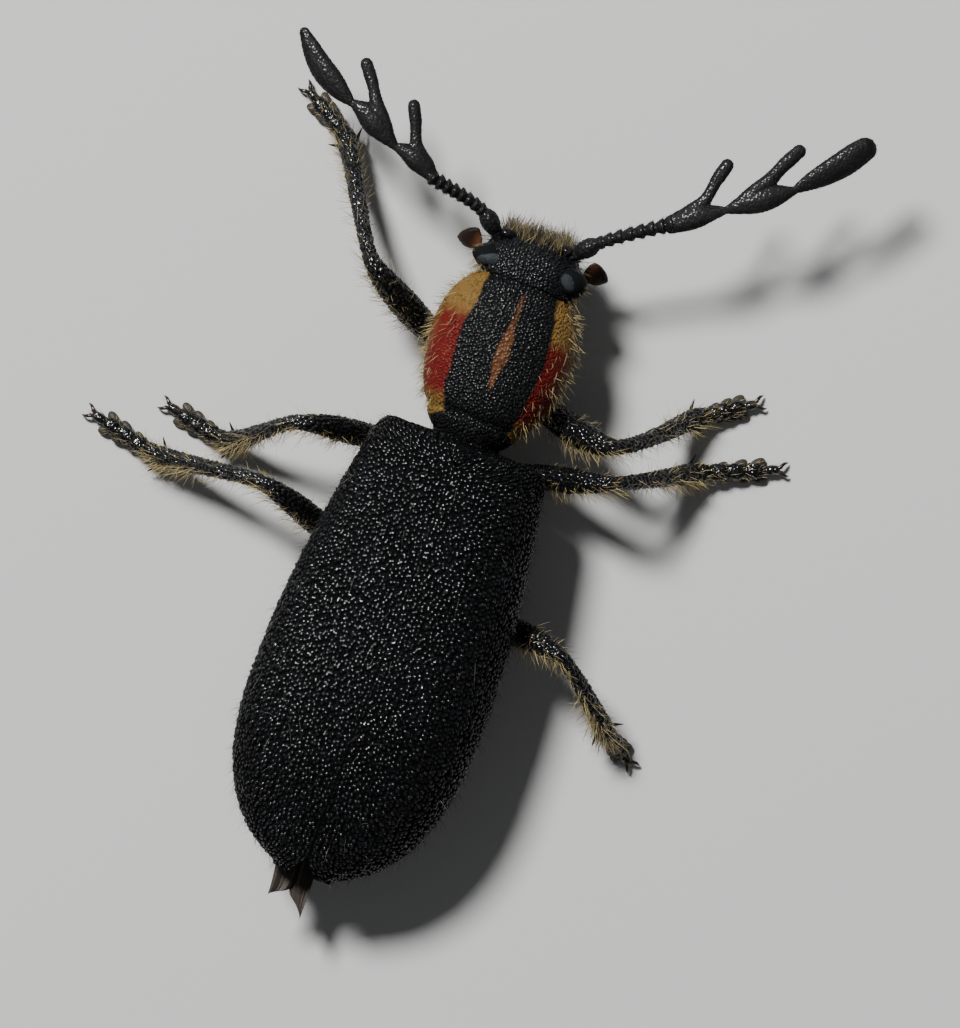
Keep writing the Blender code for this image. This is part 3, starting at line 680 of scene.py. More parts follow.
class Look:
    """One material: its shader, and the nodes that feed it."""

    def __init__(self, name, colour, roughness, **settings):
        self.material = bpy.data.materials.new(name)
        self.material.use_nodes = True
        self.tree = self.material.node_tree
        self.shader = self.tree.nodes["Principled BSDF"]
        self.put("Base Color", (*colour, 1.0))
        self.put("Roughness", roughness)
        for socket, value in settings.items():
            self.put(socket.replace("_", " "), value)

    def node(self, kind, settings=None, inputs=None):
        made = self.tree.nodes.new(kind)
        for key, value in (settings or {}).items():
            if key == "stops":
                ramp = made.color_ramp
                while len(ramp.elements) < len(value):
                    ramp.elements.new(0.5)
                for element, (place, colour) in zip(ramp.elements, value):
                    element.position = place
                    element.color = colour
            else:
                setattr(made, key, value)
        for key, value in (inputs or {}).items():
            self.feed(made.inputs[key], value)
        return made

    def feed(self, socket, value):
        if isinstance(value, Value):
            self.tree.links.new(value.socket, socket)
        elif isinstance(value, bpy.types.NodeSocket):
            self.tree.links.new(value, socket)
        else:
            socket.default_value = value

    def put(self, name, value):
        self.feed(self.shader.inputs[name], value)

    def place(self):
        """The place on the model, in metres."""
        return self.node("ShaderNodeTexCoord").outputs["Object"]

    def axes(self):
        """The same place as three values in millimetres of the drawing."""
        parts = self.node("ShaderNodeSeparateXYZ", inputs={0: self.place()})
        return [(Value(self, parts.outputs[k]) - float(ROW[k])) / MM for k in range(3)]

    def noise(self, size, detail=3.0, stretch=None):
        """Cloudy values of about the given size in millimetres."""
        place = self.place()
        if stretch:
            place = self.node("ShaderNodeMapping", inputs={"Vector": place, "Scale": stretch}).outputs[0]
        made = self.node("ShaderNodeTexNoise", inputs={"Vector": place, "Scale": 1.0 / (size * MM),
                                                       "Detail": detail})
        return Value(self, made.outputs["Fac"])

    def cells(self, size):
        """Distance to the nearest of scattered points about the given size apart."""
        made = self.node("ShaderNodeTexVoronoi", {"feature": "F1"},
                         {"Vector": self.place(), "Scale": 1.0 / (size * MM)})
        return Value(self, made.outputs["Distance"])

    def tips(self):
        """1 on the tips of the grains and 0 between them."""
        return Value(self, self.node("ShaderNodeAttribute", {"attribute_name": "tip"}).outputs["Fac"])

    def step(self, value, low, high):
        """0 below low, 1 above high and smooth in between."""
        made = self.node("ShaderNodeMapRange", {"interpolation_type": "SMOOTHSTEP"},
                         {"Value": value, "From Min": low, "From Max": high})
        return Value(self, made.outputs["Result"])

    def curve(self, value, low, high, knots):
        """A number that follows knots (value, result) as the value runs from low to high."""
        share = ((value - low) / (high - low)).held()
        stops = [((at - low) / (high - low), (result, result, result, 1.0)) for at, result in knots]
        made = self.node("ShaderNodeValToRGB", {"stops": stops}, {"Fac": share})
        parts = self.node("ShaderNodeSeparateColor", inputs={0: made.outputs["Color"]})
        return Value(self, parts.outputs[0])

    def mix(self, share, first, second):
        """One colour turning into another."""
        made = self.node("ShaderNodeMix", {"data_type": "RGBA"}, {"Factor": share})
        for socket, colour in ((made.inputs[6], first), (made.inputs[7], second)):
            self.feed(socket, colour if isinstance(colour, bpy.types.NodeSocket) else (*colour, 1.0))
        return made.outputs[2]

    def bump(self, height, distance):
        """Fine relief, its depth in millimetres."""
        made = self.node("ShaderNodeBump", inputs={"Height": height, "Strength": 1.0,
                                                   "Distance": distance * MM})
        self.put("Normal", made.outputs["Normal"])


def tint(colour, factor):
    """A darker or lighter shade of a colour."""
    return tuple(channel * factor for channel in colour)


def shell_look(name, colour, roughness, polish=0.0, gloss=0.25, grain=0.03, relief=0.003, sheen_blue=1.0,
               shine=0.25):
    """Dull shell, greyer and bluer in random cloudy patches, partly wear and partly a painted bluish sheen,
    with grains that are polished at their tips.
    """
    look = Look(name, colour, roughness, Specular_IOR_Level=gloss, Coat_Roughness=shine, Coat_IOR=1.8)
    cloud, fine = look.noise(0.5), look.noise(grain, 2.0)
    worn_and_sheen = look.step(cloud, 0.45, 0.75)
    # The lighter, bluer copy of the colour is a painted bluish sheen, laid in the same cloudy patches that
    # also mark rougher wear.
    worn_sheen_colour = (colour[0] * 1.6, colour[1] * 1.6 * sheen_blue, colour[2] * 1.7 * sheen_blue)
    look.put("Base Color", look.mix(worn_and_sheen, colour, worn_sheen_colour))
    look.put("Roughness", (roughness - 0.05 + worn_and_sheen * 0.10 + fine * 0.10).held())
    if polish:
        look.put("Coat Weight", (look.tips() * (0.6 + look.noise(0.12) * 0.8) * polish).held())
    look.bump(fine + 0.5 * look.noise(grain * 3.0, 2.0), relief)
    return look.material


def marked_look(colours):
    """The neck shield: a black middle band split by a tan stripe, red flanks and ochre corners."""
    look = Look("shield_shell", colours.black, 0.6, Specular_IOR_Level=0.08, Coat_Roughness=0.25,
                Coat_IOR=1.7)
    x, y, z = look.axes()
    ragged = (look.noise(0.18) - 0.5) * 0.10 + (look.noise(0.06) - 0.5) * 0.05
    low, high = -0.2, 3.4
    # The band: its middle line, plus 0.5 so that the ramp can hold it, and its half width along y
    middle = look.curve(y, low, high, ((0.0, 0.54), (0.6, 0.545), (1.0, 0.535), (2.6, 0.54), (2.95, 0.50)))
    half = look.curve(y, low, high, (
        (0.0, 0.98), (0.48, 0.80), (0.60, 0.60), (1.0, 0.715), (1.45, 0.765), (2.0, 0.80), (2.5, 0.74),
        (2.9, 0.68), (3.2, 0.62)))
    side = abs(x - (middle - 0.5) + ragged)
    band = 1 - look.step(side - half, -0.03, 0.03)
    # The stripe on the band's top, which thins out ahead and is broken by grains at its edges
    stripe_half = look.curve(y, low, high, (
        (1.10, 0.0), (1.3, 0.045), (1.6, 0.090), (1.9, 0.120), (2.15, 0.105), (2.35, 0.068), (2.6, 0.050),
        (2.85, 0.050), (3.0, 0.03), (3.06, 0.0)))
    stripe = 1 - look.step(abs(x - 0.066 + ragged * 0.8) - stripe_half, -0.045, 0.03)
    stripe = stripe * look.step(stripe_half, 0.01, 0.05) * look.step(z, 2.0, 2.2)
    stripe = stripe * look.step(look.cells(0.06) + stripe_half * 3.0, 0.20, 0.42)
    # The underside is black, and the flanks are ochre at both ends and along their rims
    under = 1 - look.step(z + ragged, 1.20, 1.45)
    corner = look.step(y + ragged, 2.18, 2.50).most(1 - look.step(y + ragged, 0.66, 1.02))
    rim = look.step(abs(x) + ragged, 1.10, 1.28)
    yellow = (corner + rim * 0.6).held()
    cloud = look.noise(0.25)
    red = look.mix(cloud, tint(colours.red, 0.75), tint(colours.red, 1.25))
    ochre = look.mix(cloud, tint(colours.ochre, 0.8), tint(colours.ochre, 1.15))
    flank = look.mix(yellow, red, ochre)
    tan = look.mix(cloud, tint(colours.tan, 0.75), tint(colours.tan, 1.1))
    tan = look.mix(look.step(y + ragged, 2.15, 2.55) * 0.7, tan, tint(colours.tan, 0.35))
    top = look.mix(band.most(under), flank, colours.black)
    look.put("Base Color", look.mix(stripe, top, tan))
    fine = look.noise(0.03, 2.0)
    look.put("Roughness", (0.55 + fine * 0.15).held())
    look.put("Coat Weight", (look.tips() * (0.25 + band * 0.70)).held())
    look.bump(fine, 0.003)
    return look.material


def hair_look(name, colour, light, roughness=0.45, share=0.75):
    """Hair whose every strand has its own shade; few strands are light where share is high."""
    look = Look(name, colour, roughness, Specular_IOR_Level=0.30)
    strand = Value(look, look.node("ShaderNodeNewGeometry").outputs["Random Per Island"])
    patch = look.noise(0.4)
    look.put("Base Color", look.mix((strand * share + patch * 0.4 + (0.75 - share)).held(), colour, light))
    return look.material


def eye_look(colour, black):
    """A slanting patch of grey facets painted on top of the eye, where the light falls, and black facets all
    round it as painted shade on the eye's sides.
    """
    look = Look("eye_facets", colour, 0.8, Specular_IOR_Level=0.10)
    x, y, _ = look.axes()
    cloud = look.noise(0.10)
    left = look.step(0 - x, -0.01, 0.01)
    out, ahead = abs(x) - 0.69 - left * 0.04, y - x * 0.07 - 3.42
    along = out * (left * 0.3 + 1) - ahead * (1 - left * 0.5)
    aside = out * (1 - left * 0.5) + ahead * (left * 0.3 + 1)
    far = along * along / (left * 0.05 + 0.056) + aside * aside / 0.017 + (cloud - 0.5) * 0.9
    # Painted light: the left eye's patch is painted brighter than the right one's, as lit from the left.
    painted_lit_grey = look.mix(left, tint(colour, 1.5), tint(colour, 3.0))
    grey = look.mix(look.noise(0.04, 1.0), tint(colour, 0.35), painted_lit_grey)
    # The facets round the patch are painted black, as painted shade on the eye's sides.
    look.put("Base Color", look.mix(look.step(far, 0.75, 1.25), grey, tint(black, 1.5)))
    look.put("Roughness", (0.75 + cloud * 0.25).held())
    look.bump(look.cells(0.03), 0.003)
    return look.material


def palp_look(colour, stem):
    """Dark ends on reddish brown roots; the left roots are painted lighter and the right ones darker, as
    painted light and shade from the left.
    """
    look = Look("palp_blade", colour, 0.4, Specular_IOR_Level=0.35)
    x, _, _ = look.axes()
    cloud = look.noise(0.08)
    # Painted light and shade: the stem colour is lightened on the left palps and darkened on the right ones.
    root = look.mix(look.step(x, -0.01, 0.01), tint(stem, 1.2), tint(stem, 0.6))
    look.put("Base Color", look.mix(look.step(abs(x) + cloud * 0.12, 1.06, 1.24), root, colour))
    look.put("Roughness", (0.32 + cloud * 0.2).held())
    look.bump(look.noise(0.04), 0.004)
    return look.material


def soft_look(name, colour, light, roughness, scatter):
    """Pale soft tissue that lets some light in."""
    look = Look(name, colour, roughness, Subsurface_Weight=scatter, Subsurface_Scale=0.00012,
                Subsurface_Radius=(1.0, 0.7, 0.5), Specular_IOR_Level=0.15)
    cloud = look.noise(0.12)
    look.put("Base Color", look.mix(cloud, colour, light))
    look.put("Roughness", (roughness - 0.1 + cloud * 0.2).held())
    look.bump(look.noise(0.04), 0.004)
    return look.material


def wing_look(colour, light):
    """Smoky membrane, a little see-through."""
    look = Look("wing_membrane", colour, 0.5, Specular_IOR_Level=0.3)
    cloud = look.noise(0.25, stretch=(3.0, 1.0, 1.0))
    look.put("Base Color", look.mix(cloud, colour, light))
    look.put("Roughness", (0.42 + cloud * 0.25).held())
    look.put("Alpha", (0.88 + cloud * 0.12).held())
    look.bump(look.noise(0.03, 1.0), 0.008)
    return look.material


# The forms of the body. t is a share of the wing cases' length, from their base to their tips

def elytra_half(t):
    shoulder = lerp(0.87, 1.0, dome(1.0 - np.minimum(1.0, t / 0.05), 2.2, 2.0))
    front = lerp(SHOULDER_HALF, ELYTRA_HALF, np.sin(0.5 * math.pi * np.minimum(1.0, t / WIDEST_AT)))
    back = dome((t - WIDEST_AT) / (1.0 - WIDEST_AT), 2.6, 2.0)
    return np.maximum(TIP_HALF, shoulder * front * back)


def elytra_height(t):
    front = lerp(0.52, 1.0, dome(1.0 - np.minimum(1.0, t / 0.30), 2.0, 2.0))
    back = np.maximum(0.28, dome((t - 0.45) / 0.57, 2.6, 1.7))
    return (TOP_Z - SIDE_Z) * front * back


def elytra_level(t):
    return SIDE_Z - 0.22 * smooth((t - 0.6) / 0.4)


def elytra_rim(t):
    return ELYTRON_RIM * (1.0 - 0.6 * smooth((t - 0.80) / 0.20))


def elytra_wall(t):
    return np.minimum(ELYTRON_THICK, np.minimum(0.60 * elytra_height(t), 0.60 * elytra_half(t)))


def suture_angle(share):
    """The angle on a section of the back at which x is the given share of its half width."""
    return math.degrees(math.asin(share ** (0.5 * BACK_POWER)))


def elytron(side, rows, columns):
    """One wing case's grid: each section runs from the seam over the back, under its edge and back inside."""
    rings = []
    spread = np.linspace(0.0, 1.0, rows)
    for share in 0.45 * spread + 0.55 * (0.5 - 0.5 * np.cos(math.pi * spread)):
        t = float(share)
        y = lerp(ELYTRA_BASE_Y, ELYTRA_TIP_Y, t)
        half, height, level = float(elytra_half(t)), float(elytra_height(t)), float(elytra_level(t))
        wall, rim = float(elytra_wall(t)), float(elytra_rim(t))
        edge = float(dome(1.0 - min(1.0, (ELYTRA_BASE_Y - y + 0.01) / 0.16)))
        height *= lerp(0.80, 1.0, edge)
        half *= lerp(0.97, 1.0, edge)
        shield = (ELYTRA_BASE_Y - y) / (SCUTELLUM_LENGTH + 0.02)
        inner = 0.004 + APEX_NOTCH * float(smooth((t - 0.955) / 0.045))
        if shield < 1.0:
            inner += SCUTELLUM_HALF * float(dome(shield, 1.6, 1.3))
        start = suture_angle(inner / half)
        arch = superarc(half, height, BACK_POWER, start, 90, 160)
        under = np.array([(half + 0.015, -0.25 * rim), (half, -0.55 * rim), (half - 0.06, -0.9 * rim),
                          (half - 0.16, -rim)])
        outside = even(np.concatenate([arch, under]), columns)
        core = half - wall
        inside = superarc(core, height - wall, BACK_POWER, 90, suture_angle(min(0.9, inner / core)), 7)
        flat = np.concatenate([outside, [(core, -rim)], inside])
        rings.append(section(flat * (side, 1.0) + (0.0, level), y))
    return np.array(rings)


def trunk_ring(y, bottom, inset, columns):
    """A section of the trunk: its belly first, then its back inside the wing cases."""
    t = (ELYTRA_BASE_Y - y) / (ELYTRA_BASE_Y - ELYTRA_TIP_Y)
    half, height, level = float(elytra_half(t)), float(elytra_height(t)), float(elytra_level(t))
    wall = float(elytra_wall(t)) + 0.06
    step = level - float(elytra_rim(t)) - 0.01
    belly = even(superarc(half - inset, step - bottom, 2.0, 90, 270, 60) + (0.0, step), columns)
    back = superarc(half - wall, height - wall, BACK_POWER, -90, 90, 9) + (0.0, level)
    flat = np.concatenate([belly, [(wall - half, step)], back, [(half - wall, step)]])
    return section(flat, y)


def belly_mask(plain):
    """1 on the columns of a trunk grid that are its belly, 0 on those inside the wing cases."""
    mask = np.zeros(plain.shape[:2])
    mask[:, :TRUNK_COLUMNS] = 1.0
    return mask


def pronotum_grid(rows, columns):
    """The neck shield: each section starts under the body and runs up its left side."""
    rings = []
    for y in np.linspace(0.10, PRONOTUM_FRONT_Y + 0.04, rows):
        share = (y - PRONOTUM_BACK_Y) / (PRONOTUM_FRONT_Y - PRONOTUM_BACK_Y)
        if y < PRONOTUM_WIDEST_Y:
            back = (PRONOTUM_WIDEST_Y - y) / (PRONOTUM_WIDEST_Y - PRONOTUM_BACK_Y)
            half = lerp(PRONOTUM_BACK_HALF, PRONOTUM_HALF, float(dome(back, 1.9, 1.25)))
        else:
            front = (y - PRONOTUM_WIDEST_Y) / (PRONOTUM_FRONT_Y - PRONOTUM_WIDEST_Y)
            half = lerp(PRONOTUM_FRONT_HALF, PRONOTUM_HALF, float(dome(front, 2.2, 1.6)))
        top = PRONOTUM_TOP_Z - 0.34 * abs(2 * share - 1.05) ** 2.6
        bottom = PRONOTUM_BELLY_Z + 0.22 * abs(2 * share - 0.9) ** 3.0
        collar = math.exp(-((y - COLLAR_Y) / 0.09) ** 2)
        lip = math.exp(-((y - FRONT_GROOVE_Y) / 0.06) ** 2)
        half -= 0.05 * collar + 0.015 * lip
        top -= 0.045 * collar + 0.015 * lip
        level = PRONOTUM_SIDE_Z
        under = superarc(half, level - bottom, 1.9, 180, 270, 60) + (0.0, level)
        over = superarc(half, top - level, 2.1, -90, 0, 60) + (0.0, level)
        left = np.concatenate([even(under, columns // 8 + 1)[:-1], even(over, 3 * columns // 8 + 1)])
        right = left[::-1] * (-1.0, 1.0)
        flat = np.concatenate([left, right[1:-1]])
        rings.append(section(flat, y))
    return np.array(rings)


def turned(points):
    """Turns points of a straight head, whose back stays square to the neck shield."""
    points = np.array(points, float)
    ahead = points[..., 1] - HEAD_BACK_Y
    x = points[..., 0] - HEAD_TURN * ahead
    y = points[..., 1] + HEAD_TURN * points[..., 0] * smooth(ahead / 0.4)
    return np.stack([x, y, points[..., 2]], axis=-1)


def head_grid(rows, columns):
    """The head's capsule: each section starts under the chin and runs up its left side."""
    rings = []
    for share in np.linspace(0.0, 1.0, rows):
        along = 1.0 - (1.0 - share) ** 1.5
        y = lerp(HEAD_BACK_Y - 0.16, HEAD_FRONT_Y, along)
        along = (y - HEAD_BACK_Y) / (HEAD_FRONT_Y - HEAD_BACK_Y)
        half = HEAD_HALF * lerp(0.50, 1.0, float(dome(along, 2.6, 1.8)))
        half *= lerp(0.93, 1.0, float(smooth(along / 0.3)))
        top = lerp(1.62, HEAD_TOP_Z, float(dome(along, 2.3, 1.5)))
        bottom = HEAD_CHIN_Z + 0.08 * (1.0 - float(smooth(along / 0.3)))
        half -= 0.10 * smooth(-along / 0.2)
        top -= 0.10 * smooth(-along / 0.2)
        level = 0.5 * (bottom + top)
        under = superarc(half, level - bottom, 2.6, 180, 270, 40) + (0.0, level)
        over = superarc(half, top - level, 2.3, -90, 0, 40) + (0.0, level)
        left = np.concatenate([under, over[1:]])
        right = left[::-1] * (-1.0, 1.0)
        flat = even(np.concatenate([left, right[1:]]), columns + 1)[:-1]
        rings.append(section(flat, y))
    return turned(np.array(rings))


def claws(form, root, flat, aside, slot):
    """Two curved claws, each with a tooth at its base."""
    for side in (-1, 1):
        knots = [root - 0.04 * flat]
        for reach, spread, height in ((0.09, 0.9, 0.02), (0.17, 0.8, -0.01), (0.23, 0.6, -0.08)):
            knots.append(root + reach * unit(flat + spread * side * aside) + (0.0, 0.0, height))
        line = through(knots, 12)
        form.add(sweep(line, through((0.036, 0.034, 0.028, 0.008), 12), 10), slot)
        base = line[2]
        tooth = through((base, base + 0.06 * flat - (0, 0, 0.04), base + 0.07 * flat - (0, 0, 0.06)), 5)
        form.add(sweep(tooth, (0.028, 0.025, 0.020, 0.014, 0.006), 8), slot)


# The settings

def size(name, description, millimetres):
    """A length that a user can change, kept in metres."""
    return bpy.props.FloatProperty(name=name, description=description, default=millimetres * MM, min=0.0,
                                   unit="LENGTH", subtype="DISTANCE", precision=6)


def colour(name, description, default):
    """A colour that a user can change."""
    return bpy.props.FloatVectorProperty(name=name, description=description, default=default, size=3,
                                         min=0.0, max=1.0, subtype="COLOR")


class BeetleShell(bpy.types.PropertyGroup):
    case_grain: size("Wing case grain", "Distance from one grain of the wing cases to the next", 0.090)
    case_relief: size("Wing case relief", "Height of the wing cases' grains", 0.046)
    shield_grain: size("Shield grain", "Distance between the grains of the neck shield and head", 0.060)
    shield_relief: size("Shield relief", "Height of the grains of the neck shield and head", 0.030)
    leg_grain: size("Leg grain", "Distance between the grains of the legs", 0.072)
    leg_relief: size("Leg relief", "Height of the legs' grains", 0.032)
    facet: size("Eye facet", "Width of one facet of an eye", 0.042)


class BeetleCoat(bpy.types.PropertyGroup):
    thickness: size("Hair thickness", "Radius of a long hair at its root", 0.0062)
    fringe: size("Shield fringe", "Length of the golden hair along the neck shield's sides", 0.185)
    face: size("Face hair", "Length of the golden hair on the face", 0.27)
    limb: size("Leg fringe", "Length of the long hair under the legs", 0.27)
    pile: size("Back hair", "Length of the dark hair on the wing cases", 0.12)
    density: bpy.props.FloatProperty(name="Density", description="Share of the full number of hairs",
                                     default=1.0, min=0.05, max=2.0, subtype="FACTOR")


class BeetleColours(bpy.types.PropertyGroup):
    black: colour("Black", "The shell", (0.0024, 0.0026, 0.0030))
    matt: colour("Feeler black", "The dull antennae", (0.0042, 0.0042, 0.0045))
    red: colour("Red", "The neck shield's flanks", (0.088, 0.0062, 0.0046))
    ochre: colour("Ochre", "The neck shield's corners and rim", (0.140, 0.080, 0.020))
    tan: colour("Tan", "The stripe in the black band", (0.100, 0.038, 0.014))
    eye: colour("Eye", "The grey facets", (0.021, 0.025, 0.027))
    palp: colour("Palp", "The dark ends of the palps", (0.016, 0.0075, 0.0050))
    stem: colour("Palp stem", "The reddish brown stems of the palps", (0.100, 0.038, 0.016))
    lobe: colour("Lobes", "The soft pads under the feet", (0.030, 0.026, 0.020))
    wing: colour("Wing", "The hind wings' tips", (0.026, 0.020, 0.015))
    gold: colour("Gold", "The long hair", (0.270, 0.215, 0.100))
    dusk: colour("Dark hair", "The short hair on black shell", (0.008, 0.007, 0.006))


class BeetleStage(bpy.types.PropertyGroup):
    floor: colour("Floor", "The pale floor", (0.50, 0.496, 0.488))
    key: bpy.props.FloatProperty(name="Key light", description="Power of the main soft light",
                                 default=0.90, min=0.0, unit="POWER", precision=4)
    fill: bpy.props.FloatProperty(name="Fill light", description="Power of the light overhead",
                                  default=0.01, min=0.0, unit="POWER", precision=4)
    sky: bpy.props.FloatProperty(name="Room light", description="Strength of the light from all round",
                                 default=0.10, min=0.0, subtype="FACTOR")


# The pieces

PARTS = {}  # the plain forms that hair grows on, by name
LOOKS = {}  # the materials, by name


def mm(length):
    """A setting's length in millimetres of the drawing."""
    return length / MM


def hairs(coat, name, share=1.0):
    """How many hairs to grow at the coat's density."""
    return int(share * HAIRS[name] * coat.density)


class BEETLE_OT_looks(bpy.types.Operator):
    """Makes the materials that the pieces share"""

    bl_idname = "beetle.looks"
    bl_label = "Materials"

    def execute(self, context):
        colours = context.scene.beetle_colours
        black = tuple(colours.black)
        LOOKS["case"] = shell_look("case_shell", tint(black, 0.65), 0.65, polish=1.0, gloss=0.03, sheen_blue=1.15,
                                   relief=0.002, shine=0.23)
        LOOKS["shell"] = shell_look("black_shell", black, 0.60, polish=0.9, gloss=0.08, sheen_blue=1.1,
                                    relief=0.002)
        LOOKS["leg"] = shell_look("leg_shell", black, 0.35, polish=0.8, gloss=0.12, grain=0.05, relief=0.002,
                                  shine=0.15)
        LOOKS["claw"] = shell_look("claw_horn", HORN, 0.25, gloss=0.5)
        LOOKS["feeler"] = shell_look("feeler_shell", tuple(colours.matt), 0.60, polish=0.55, gloss=0.15,
                                     grain=0.022, relief=0.006)
        LOOKS["belly"] = shell_look("belly_shell", black, 0.42, polish=0.5, gloss=0.20)
        LOOKS["shield"] = marked_look(colours)
        LOOKS["eye"] = eye_look(tuple(colours.eye), black)
        LOOKS["palp"] = palp_look(tuple(colours.palp), tuple(colours.stem))
        LOOKS["palp_stem"] = shell_look("palp_stem", tuple(colours.stem), 0.40, gloss=0.4, grain=0.05)
        LOOKS["lobe"] = soft_look("foot_lobes", tuple(colours.lobe), tint(colours.lobe, 1.5), 0.45, 0.35)
        LOOKS["wing"] = wing_look(tuple(colours.wing), tint(colours.wing, 1.7))
        LOOKS["face"] = hair_look("face_hair", tint(colours.gold, 0.08), tint(colours.gold, 1.5), share=2.4)
        LOOKS["gold"] = hair_look("golden_hair", tint(colours.gold, 0.28), tint(colours.gold, 2.3), share=1.1)
        LOOKS["pale"] = hair_look("pale_hair", *STRAY_HAIR)
        LOOKS["dusk"] = hair_look("dark_hair", tint(colours.dusk, 0.4), tint(colours.dusk, 2.2), 0.35)
        return {"FINISHED"}


class BEETLE_OT_wing_cases(bpy.types.Operator):
    """Builds the two grained wing cases"""

    bl_idname = "beetle.wing_cases"
    bl_label = "Wing cases"

    def execute(self, context):
        shell = context.scene.beetle_shell
        columns = CASE_COLUMNS
        for side, word in SIDES:
            plain = elytron(side, CASE_ROWS, columns)
            about = across(plain, 0)[1]
            # The outer wall has a raised bead and a groove along the seam, where the grain stops
            outer = np.zeros(about.shape)
            outer[:, :columns] = 1.0
            outer[:, columns - 1] = 0.3
            bead = 0.006 * np.exp(-(about / 0.03) ** 2) - 0.006 * np.exp(-((about - 0.050) / 0.02) ** 2)
            seam = plain + outward(plain) * (outer * bead)[..., None]
            calm = smooth(about / 0.05)
            grid = grained(seam, mm(shell.case_grain), mm(shell.case_relief), 3 + side, mask=outer * calm)
            single("wing_case_" + word, grid, LOOKS["case"], "elytron_" + word, "wing_case", outer=columns)
            PARTS["wing_case_" + word] = plain[:, :columns]
        return {"FINISHED"}


class BEETLE_OT_scutellum(bpy.types.Operator):
    """Builds the small shield between the bases of the wing cases"""

    bl_idname = "beetle.scutellum"
    bl_label = "Scutellum"

    def execute(self, context):
        rings = []
        for share in np.linspace(0.0, 1.0, 40):
            y = ELYTRA_BASE_Y + 0.03 - share * SCUTELLUM_LENGTH
            t = max(0.0, (ELYTRA_BASE_Y - y) / (ELYTRA_BASE_Y - ELYTRA_TIP_Y))
            top = float(elytra_level(t) + elytra_height(t)) - 0.07 + 0.05 * share
            half = 0.02 + SCUTELLUM_HALF * float(dome(share, 1.6, 1.3))
            arch = superarc(half, 0.07, 2.6, -90, 90, 40) + (0.0, top)
            flat = np.concatenate([arch, [(half, top - 0.45), (-half, top - 0.45)]])
            rings.append(section(flat, y))
        grid = grained(np.array(rings), 0.07, 0.030, 8, middle=20)
        single("scutellum_shield", grid, LOOKS["case"], "scutellum", "wing_case")
        return {"FINISHED"}


class BEETLE_OT_neck_shield(bpy.types.Operator):
    """Builds the neck shield with its black band and its red and ochre sides"""

    bl_idname = "beetle.neck_shield"
    bl_label = "Neck shield"

    def execute(self, context):
        shell = context.scene.beetle_shell
        plain = pronotum_grid(SHIELD_ROWS, SHIELD_COLUMNS)
        upper = smooth((plain[..., 2] - 1.2) / 0.6)
        flank = smooth((np.abs(plain[..., 0]) - 0.8) / 0.3)
        mask = (0.4 + 0.6 * upper) * (1.0 - 0.72 * flank)
        grid = grained(plain, mm(shell.shield_grain), mm(shell.shield_relief), 11,
                       middle=SHIELD_COLUMNS // 2, mask=mask)
        single("neck_shield", rounded(grid, 0.05, 0.05), LOOKS["shield"], "pronotum", "neck_shield")
        PARTS["neck_shield"] = plain
        return {"FINISHED"}


class BEETLE_OT_head(bpy.types.Operator):
    """Builds the head's capsule with the rims of its eyes and the bosses of its antennae"""

    bl_idname = "beetle.head"
    bl_label = "Head"

    def execute(self, context):
        shell = context.scene.beetle_shell
        plain = head_grid(HEAD_ROWS, HEAD_COLUMNS)
        grid = grained(plain, mm(shell.shield_grain), mm(shell.shield_relief), 17, middle=HEAD_COLUMNS // 2)
        form = Form()
        form.add(rounded(grid, 0.05, 0.06))
        for side in (-1, 1):
            rim = ellipsoid((side * (EYE_CENTRE[0] - 0.02), EYE_CENTRE[1], EYE_CENTRE[2] - 0.06),
                            (EYE_HALF[0] * 1.02, EYE_HALF[1] * 1.16, EYE_HALF[2] * 0.90), 50, 80)
            form.add(grained(turned(rim), 0.06, 0.016, 7))
            base = ellipsoid((side * 0.55, 3.93, 2.00), (0.17, 0.10, 0.16), 20, 30)
            form.add(grained(turned(base), 0.07, 0.01, 5))
        form.piece("head_capsule", [LOOKS["shell"]], ["head"], "black_shell")
        PARTS["head"] = plain
        return {"FINISHED"}


class BEETLE_OT_eyes(bpy.types.Operator):
    """Builds the two faceted eyes"""

    bl_idname = "beetle.eyes"
    bl_label = "Eyes"

    def execute(self, context):
        shell = context.scene.beetle_shell
        for side, word in SIDES:
            ball = ellipsoid((side * EYE_CENTRE[0], EYE_CENTRE[1], EYE_CENTRE[2]), EYE_HALF, 70, 110)
            ball = turned(ball)
            down, about = across(ball, 55)
            far, _ = grain_distance(down, about, mm(shell.facet), 2)
            ball = ball + outward(ball) * (0.008 * (1.0 - smooth(far / 0.6)))[..., None]
            single("eye_facets_" + word, ball, LOOKS["eye"], "eye_" + word, "eye")
        return {"FINISHED"}


class BEETLE_OT_lip(bpy.types.Operator):
    """Builds the face plate and the lip below it"""

    bl_idname = "beetle.lip"
    bl_label = "Lip"

    def execute(self, context):
        rings = []
        for share in np.linspace(0.0, 1.0, 36):
            half = 0.46 * lerp(1.0, 0.66, share**2) - 0.02 * (share < 0.02)
            z = lerp(1.32, 0.70, share)
            out = 4.03 + 0.09 * math.sin(math.pi * min(1.0, share * 1.1))
            out = out - 0.05 * (share > 0.45) * smooth((share - 0.45) / 0.05)
            arch = superarc(half, out - 3.86, 3.2, -90, 90, 48) + (0.0, 3.86)
            flat = np.concatenate([arch, [(half, 3.80), (-half, 3.80)]])
            rings.append(np.stack([flat[:, 0], flat[:, 1], np.full(len(flat), z)], axis=1))
        lip = turned(np.array(rings))
        grid = rounded(grained(lip, 0.07, 0.010, 4, middle=24), 0.0, 0.03)
        single("lip", grid, LOOKS["shell"], "labrum", "black_shell")
        PARTS["lip"] = lip[:, 2:46]
        return {"FINISHED"}


